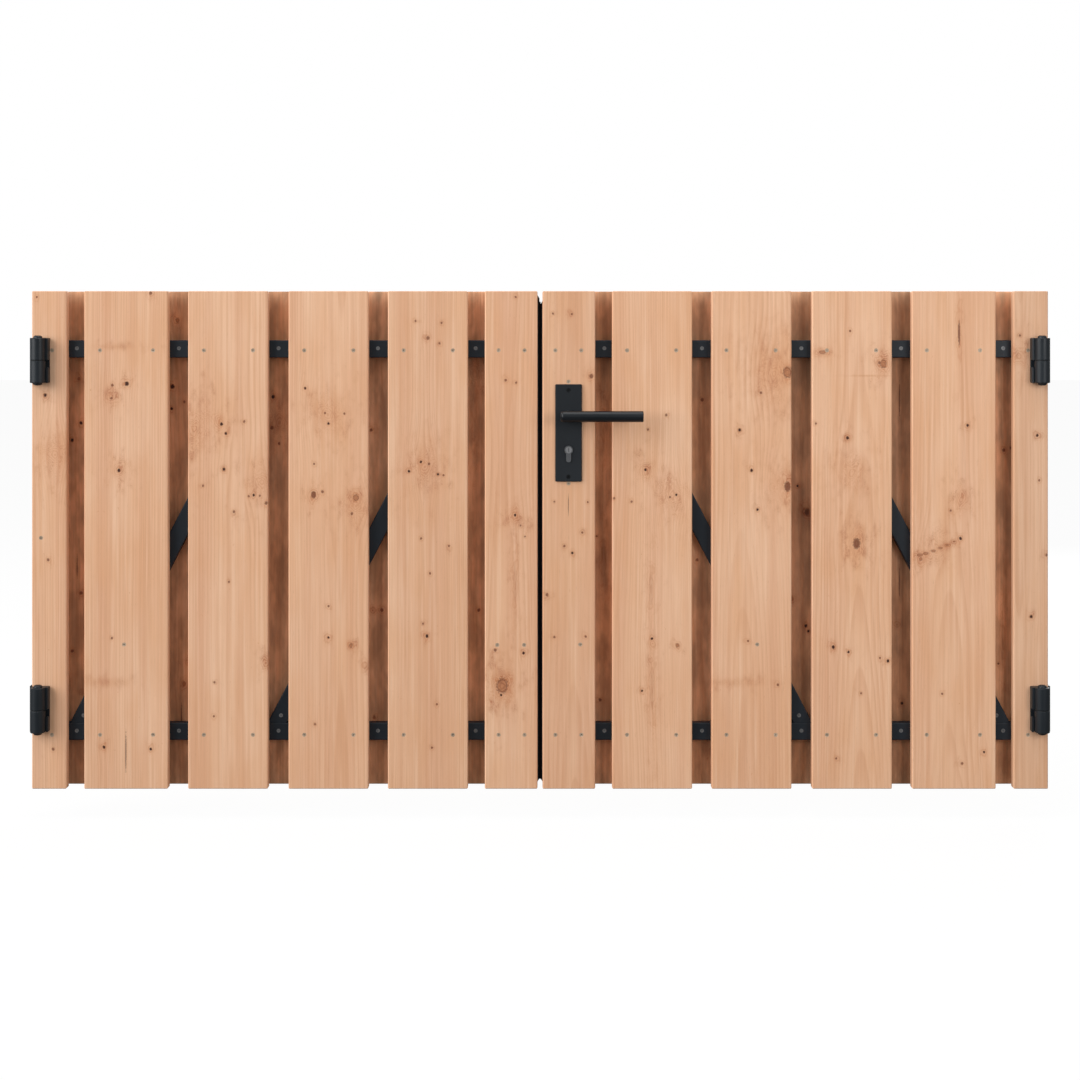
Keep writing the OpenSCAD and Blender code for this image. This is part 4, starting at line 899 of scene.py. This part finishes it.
def screw_place(points):
    """Where a CAD screw's head is, which way it points, and its head, shank and length."""
    low = Vector([min(p[i] for p in points) for i in range(3)])
    high = Vector([max(p[i] for p in points) for i in range(3)])
    size = high - low
    axis = max(range(3), key=lambda i: size[i])
    middle = (low + high) / 2

    def width_at(end):
        """Width of the solid at one of its two ends."""
        near = [p - middle for p in points if abs(p[axis] - end[axis]) < AT_END]
        for p in near:
            p[axis] = 0.0
        return 2 * max(p.length for p in near)

    ends = sorted([low, high], key=width_at)
    shank, head = ends
    place = middle.copy()
    place[axis] = head[axis]
    way = Vector([0.0, 0.0, 0.0])
    way[axis] = 1.0 if shank[axis] > head[axis] else -1.0
    return place, way, width_at(head), width_at(shank), size[axis]


def stand_in(piece, name, word, material):
    """Lets a piece made here take the place of its CAD node."""
    piece.name = name + word
    wear(piece, material)
    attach(piece, nodes[name]["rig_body"])
    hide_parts(name)


def fit_screws(name, material):
    """Detailed screws in the places of a node's plain ones, joined to one piece."""
    models = {}
    copies = []
    for count, points in enumerate(solids(nodes[name])):
        place, way, head_d, shank_d, length = screw_place(points)
        key = (round(head_d, 4), round(shank_d, 4), round(length, 4))
        if key not in models:
            models[key] = make_screw(*key)
        copy = models[key].copy()
        copy.data = models[key].data.copy()
        bpy.context.scene.collection.objects.link(copy)
        turn = Matrix.Rotation(math.radians(SCREW_TURN * count), 4, "Z")
        aim = way.to_track_quat("Z", "Y").to_matrix().to_4x4()
        copy.data.transform(Matrix.Translation(place) @ aim @ turn)
        copies.append(copy)
    for model in models.values():
        bpy.data.objects.remove(model)
    bpy.ops.object.select_all(action="DESELECT")
    for copy in copies:
        copy.select_set(True)
    bpy.context.view_layer.objects.active = copies[0]
    bpy.ops.object.join()
    piece = bpy.context.object
    stand_in(piece, name, "_detailed", material)


# Rubber lip on the right closing stile that covers the joint: its corners in X, Y and Z
SEAL_LOW = (-0.00120, -0.0097, 0.0150)
SEAL_HIGH = (0.00130, -0.0090, 0.9790)
SEAL_EDGE = 0.0003


def make_closing_seal(material):
    """The lip: a bar whose front edges are rounded."""
    low, high = Vector(SEAL_LOW), Vector(SEAL_HIGH)
    bpy.ops.object.select_all(action="DESELECT")
    bpy.ops.mesh.primitive_cube_add(size=1.0, location=(low + high) / 2, scale=high - low)
    seal = bpy.context.object
    seal.name = "closing_seal"
    only(seal)
    bpy.ops.object.transform_apply()
    bpy.ops.object.mode_set(mode="EDIT")
    front = SEAL_LOW[1] + 0.0001
    pick_faces(seal, lambda face: face.calc_center_median().y < front)
    bpy.ops.mesh.bevel(offset=SEAL_EDGE, segments=3, affect="EDGES")
    bpy.ops.object.mode_set(mode="OBJECT")
    bpy.ops.object.shade_smooth_by_angle(angle=SEAL_SMOOTH)
    wear(seal, material)
    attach(seal, "right_leaf")


# Points this close are one, and faces that turn less than this are one
WELD = 0.000002
FLAT_ANGLE = math.radians(0.5)
# Edges sharper than this are broken
SHARP_ANGLE = math.radians(40)


def merged_copy(name):
    """A copy of a CAD node whose loose triangles are joined to whole faces."""
    node = nodes[name]
    piece = node.copy()
    piece.data = node.data.copy()
    for key in list(piece.keys()):
        del piece[key]
    piece.parent = None
    bpy.context.scene.collection.objects.link(piece)
    only(piece)
    bpy.ops.object.mode_set(mode="EDIT")
    bpy.ops.mesh.select_all(action="SELECT")
    bpy.ops.mesh.remove_doubles(threshold=WELD)
    bpy.ops.mesh.dissolve_limited(angle_limit=FLAT_ANGLE)
    bpy.ops.object.mode_set(mode="OBJECT")
    return piece


def soften(name, width, material):
    """Breaks the sharp edges of a coated or moulded part, as paint and moulding do."""
    piece = merged_copy(name)
    edge = piece.modifiers.new("broken edges", "BEVEL")
    edge.width = width
    edge.segments = 2
    edge.limit_method = "ANGLE"
    edge.angle_limit = SHARP_ANGLE
    edge.use_clamp_overlap = True
    bpy.ops.object.modifier_apply(modifier=edge.name)
    bpy.ops.object.shade_smooth_by_angle(angle=EASED_SMOOTH)
    flat = piece.modifiers.new("flat faces stay flat", "WEIGHTED_NORMAL")
    flat.keep_sharp = True
    bpy.ops.object.modifier_apply(modifier=flat.name)
    stand_in(piece, name, "_eased", material)


def dress_hardware():
    """Gives every CAD node that isn't a board its finish."""
    frame_coat = make_coated("frame coat", COAT_FRAME, 0.46)
    hinge_coat = make_coated("hinge coat", COAT_HINGE, 0.42)
    lever_coat = make_coated("lever coat", COAT_LEVER, 0.32, 0.00002)
    plate_coat = make_coated("plate coat", COAT_PLATE, 0.48, 0.00003)
    plug = make_plastic("plug plastic", srgb(30, 31, 33))
    upright = (900.0, 60.0, 900.0)
    nickel = make_plated("satin nickel", srgb(112, 114, 117), 0.42, upright, 0.9, 0.04)
    # Painted highlight: the lock plug's nickel is a brighter copy of the cylinder's, standing in
    # for the highlights on its face
    plug_nickel_painted_highlight = make_plated("plug nickel", srgb(176, 178, 181), 0.3, upright, 0.9, 0.04)
    steel = make_plated("brushed steel", srgb(176, 176, 174), 0.3, (40.0, 900.0, 900.0))
    # Each finish goes to the nodes that have one of its words in their name
    finishes = [
        (frame_coat, ["rails", "stile", "braces"]),
        (hinge_coat, ["hinges", "hinge_pins", "hinge_bolts", "drop_bolt"]),
        (lever_coat, ["lever"]),
        (plate_coat, ["outer_plate", "inner_plate"]),
        (plug, ["end_plugs"]),
        (make_plastic("washer nylon", srgb(24, 24, 25)), ["hinge_washers"]),
        (make_plated("case zinc", srgb(150, 152, 150), 0.4), ["lock_case", "spindle"]),
        (steel, ["lock_forend", "strike_plate", "latch_bolt", "dead_bolt"]),
        (make_plated("follower brass", srgb(170, 140, 78), 0.38), ["follower"]),
        (nickel, ["lock_cylinder"]),
    ]
    for name, node in nodes.items():
        if "board" in name:
            continue
        for material, words in finishes:
            if any(word in name for word in words):
                wear(node, material)
    # Width of each softened node's broken edges
    broken = [
        ("left_gate_hinges", 0.0007, hinge_coat),
        ("left_post_hinges", 0.0005, hinge_coat),
        ("left_end_plugs", 0.0008, plug),
        ("right_gate_hinges", 0.0007, hinge_coat),
        ("right_post_hinges", 0.0005, hinge_coat),
        ("right_end_plugs", 0.0008, plug),
        ("drop_bolt_guides", 0.0006, hinge_coat),
        ("outer_plate", 0.0003, plate_coat),
        ("inner_plate", 0.0003, plate_coat),
        ("outer_lever", 0.0006, lever_coat),
        ("inner_lever", 0.0006, lever_coat),
        ("cylinder_core", 0.0008, plug_nickel_painted_highlight),
    ]
    for name, width, material in broken:
        soften(name, width, material)


def fit_fasteners():
    """The screws and the seal between the leaves."""
    heads = make_plated("screw zinc", srgb(184, 164, 142), 0.45, metallic=0.25)
    frame_heads = make_plated("frame screw zinc", srgb(112, 114, 116), 0.4, metallic=0.35)
    lock_heads = make_plated("black zinc", srgb(46, 48, 50), 0.38)
    for side in ("left", "right"):
        fit_screws(side + "_front_screws", heads)
        fit_screws(side + "_back_screws", frame_heads)
    fit_screws("lock_screws", lock_heads)
    make_closing_seal(make_plastic("seal rubber", srgb(9, 9, 10), 0.08))


def main():
    bpy.context.scene.view_settings.view_transform = "Standard"
    make_camera()
    make_room()
    for name, place, size, power in LAMPS:
        add_lamp(name, place, size, power)
    groups = make_mark_group(), make_wood_group()
    boards = sorted(name for name in nodes if "board" in name)
    for order, name in enumerate(boards):
        dress_board(name, order, groups)
    dress_hardware()
    fit_fasteners()


main()
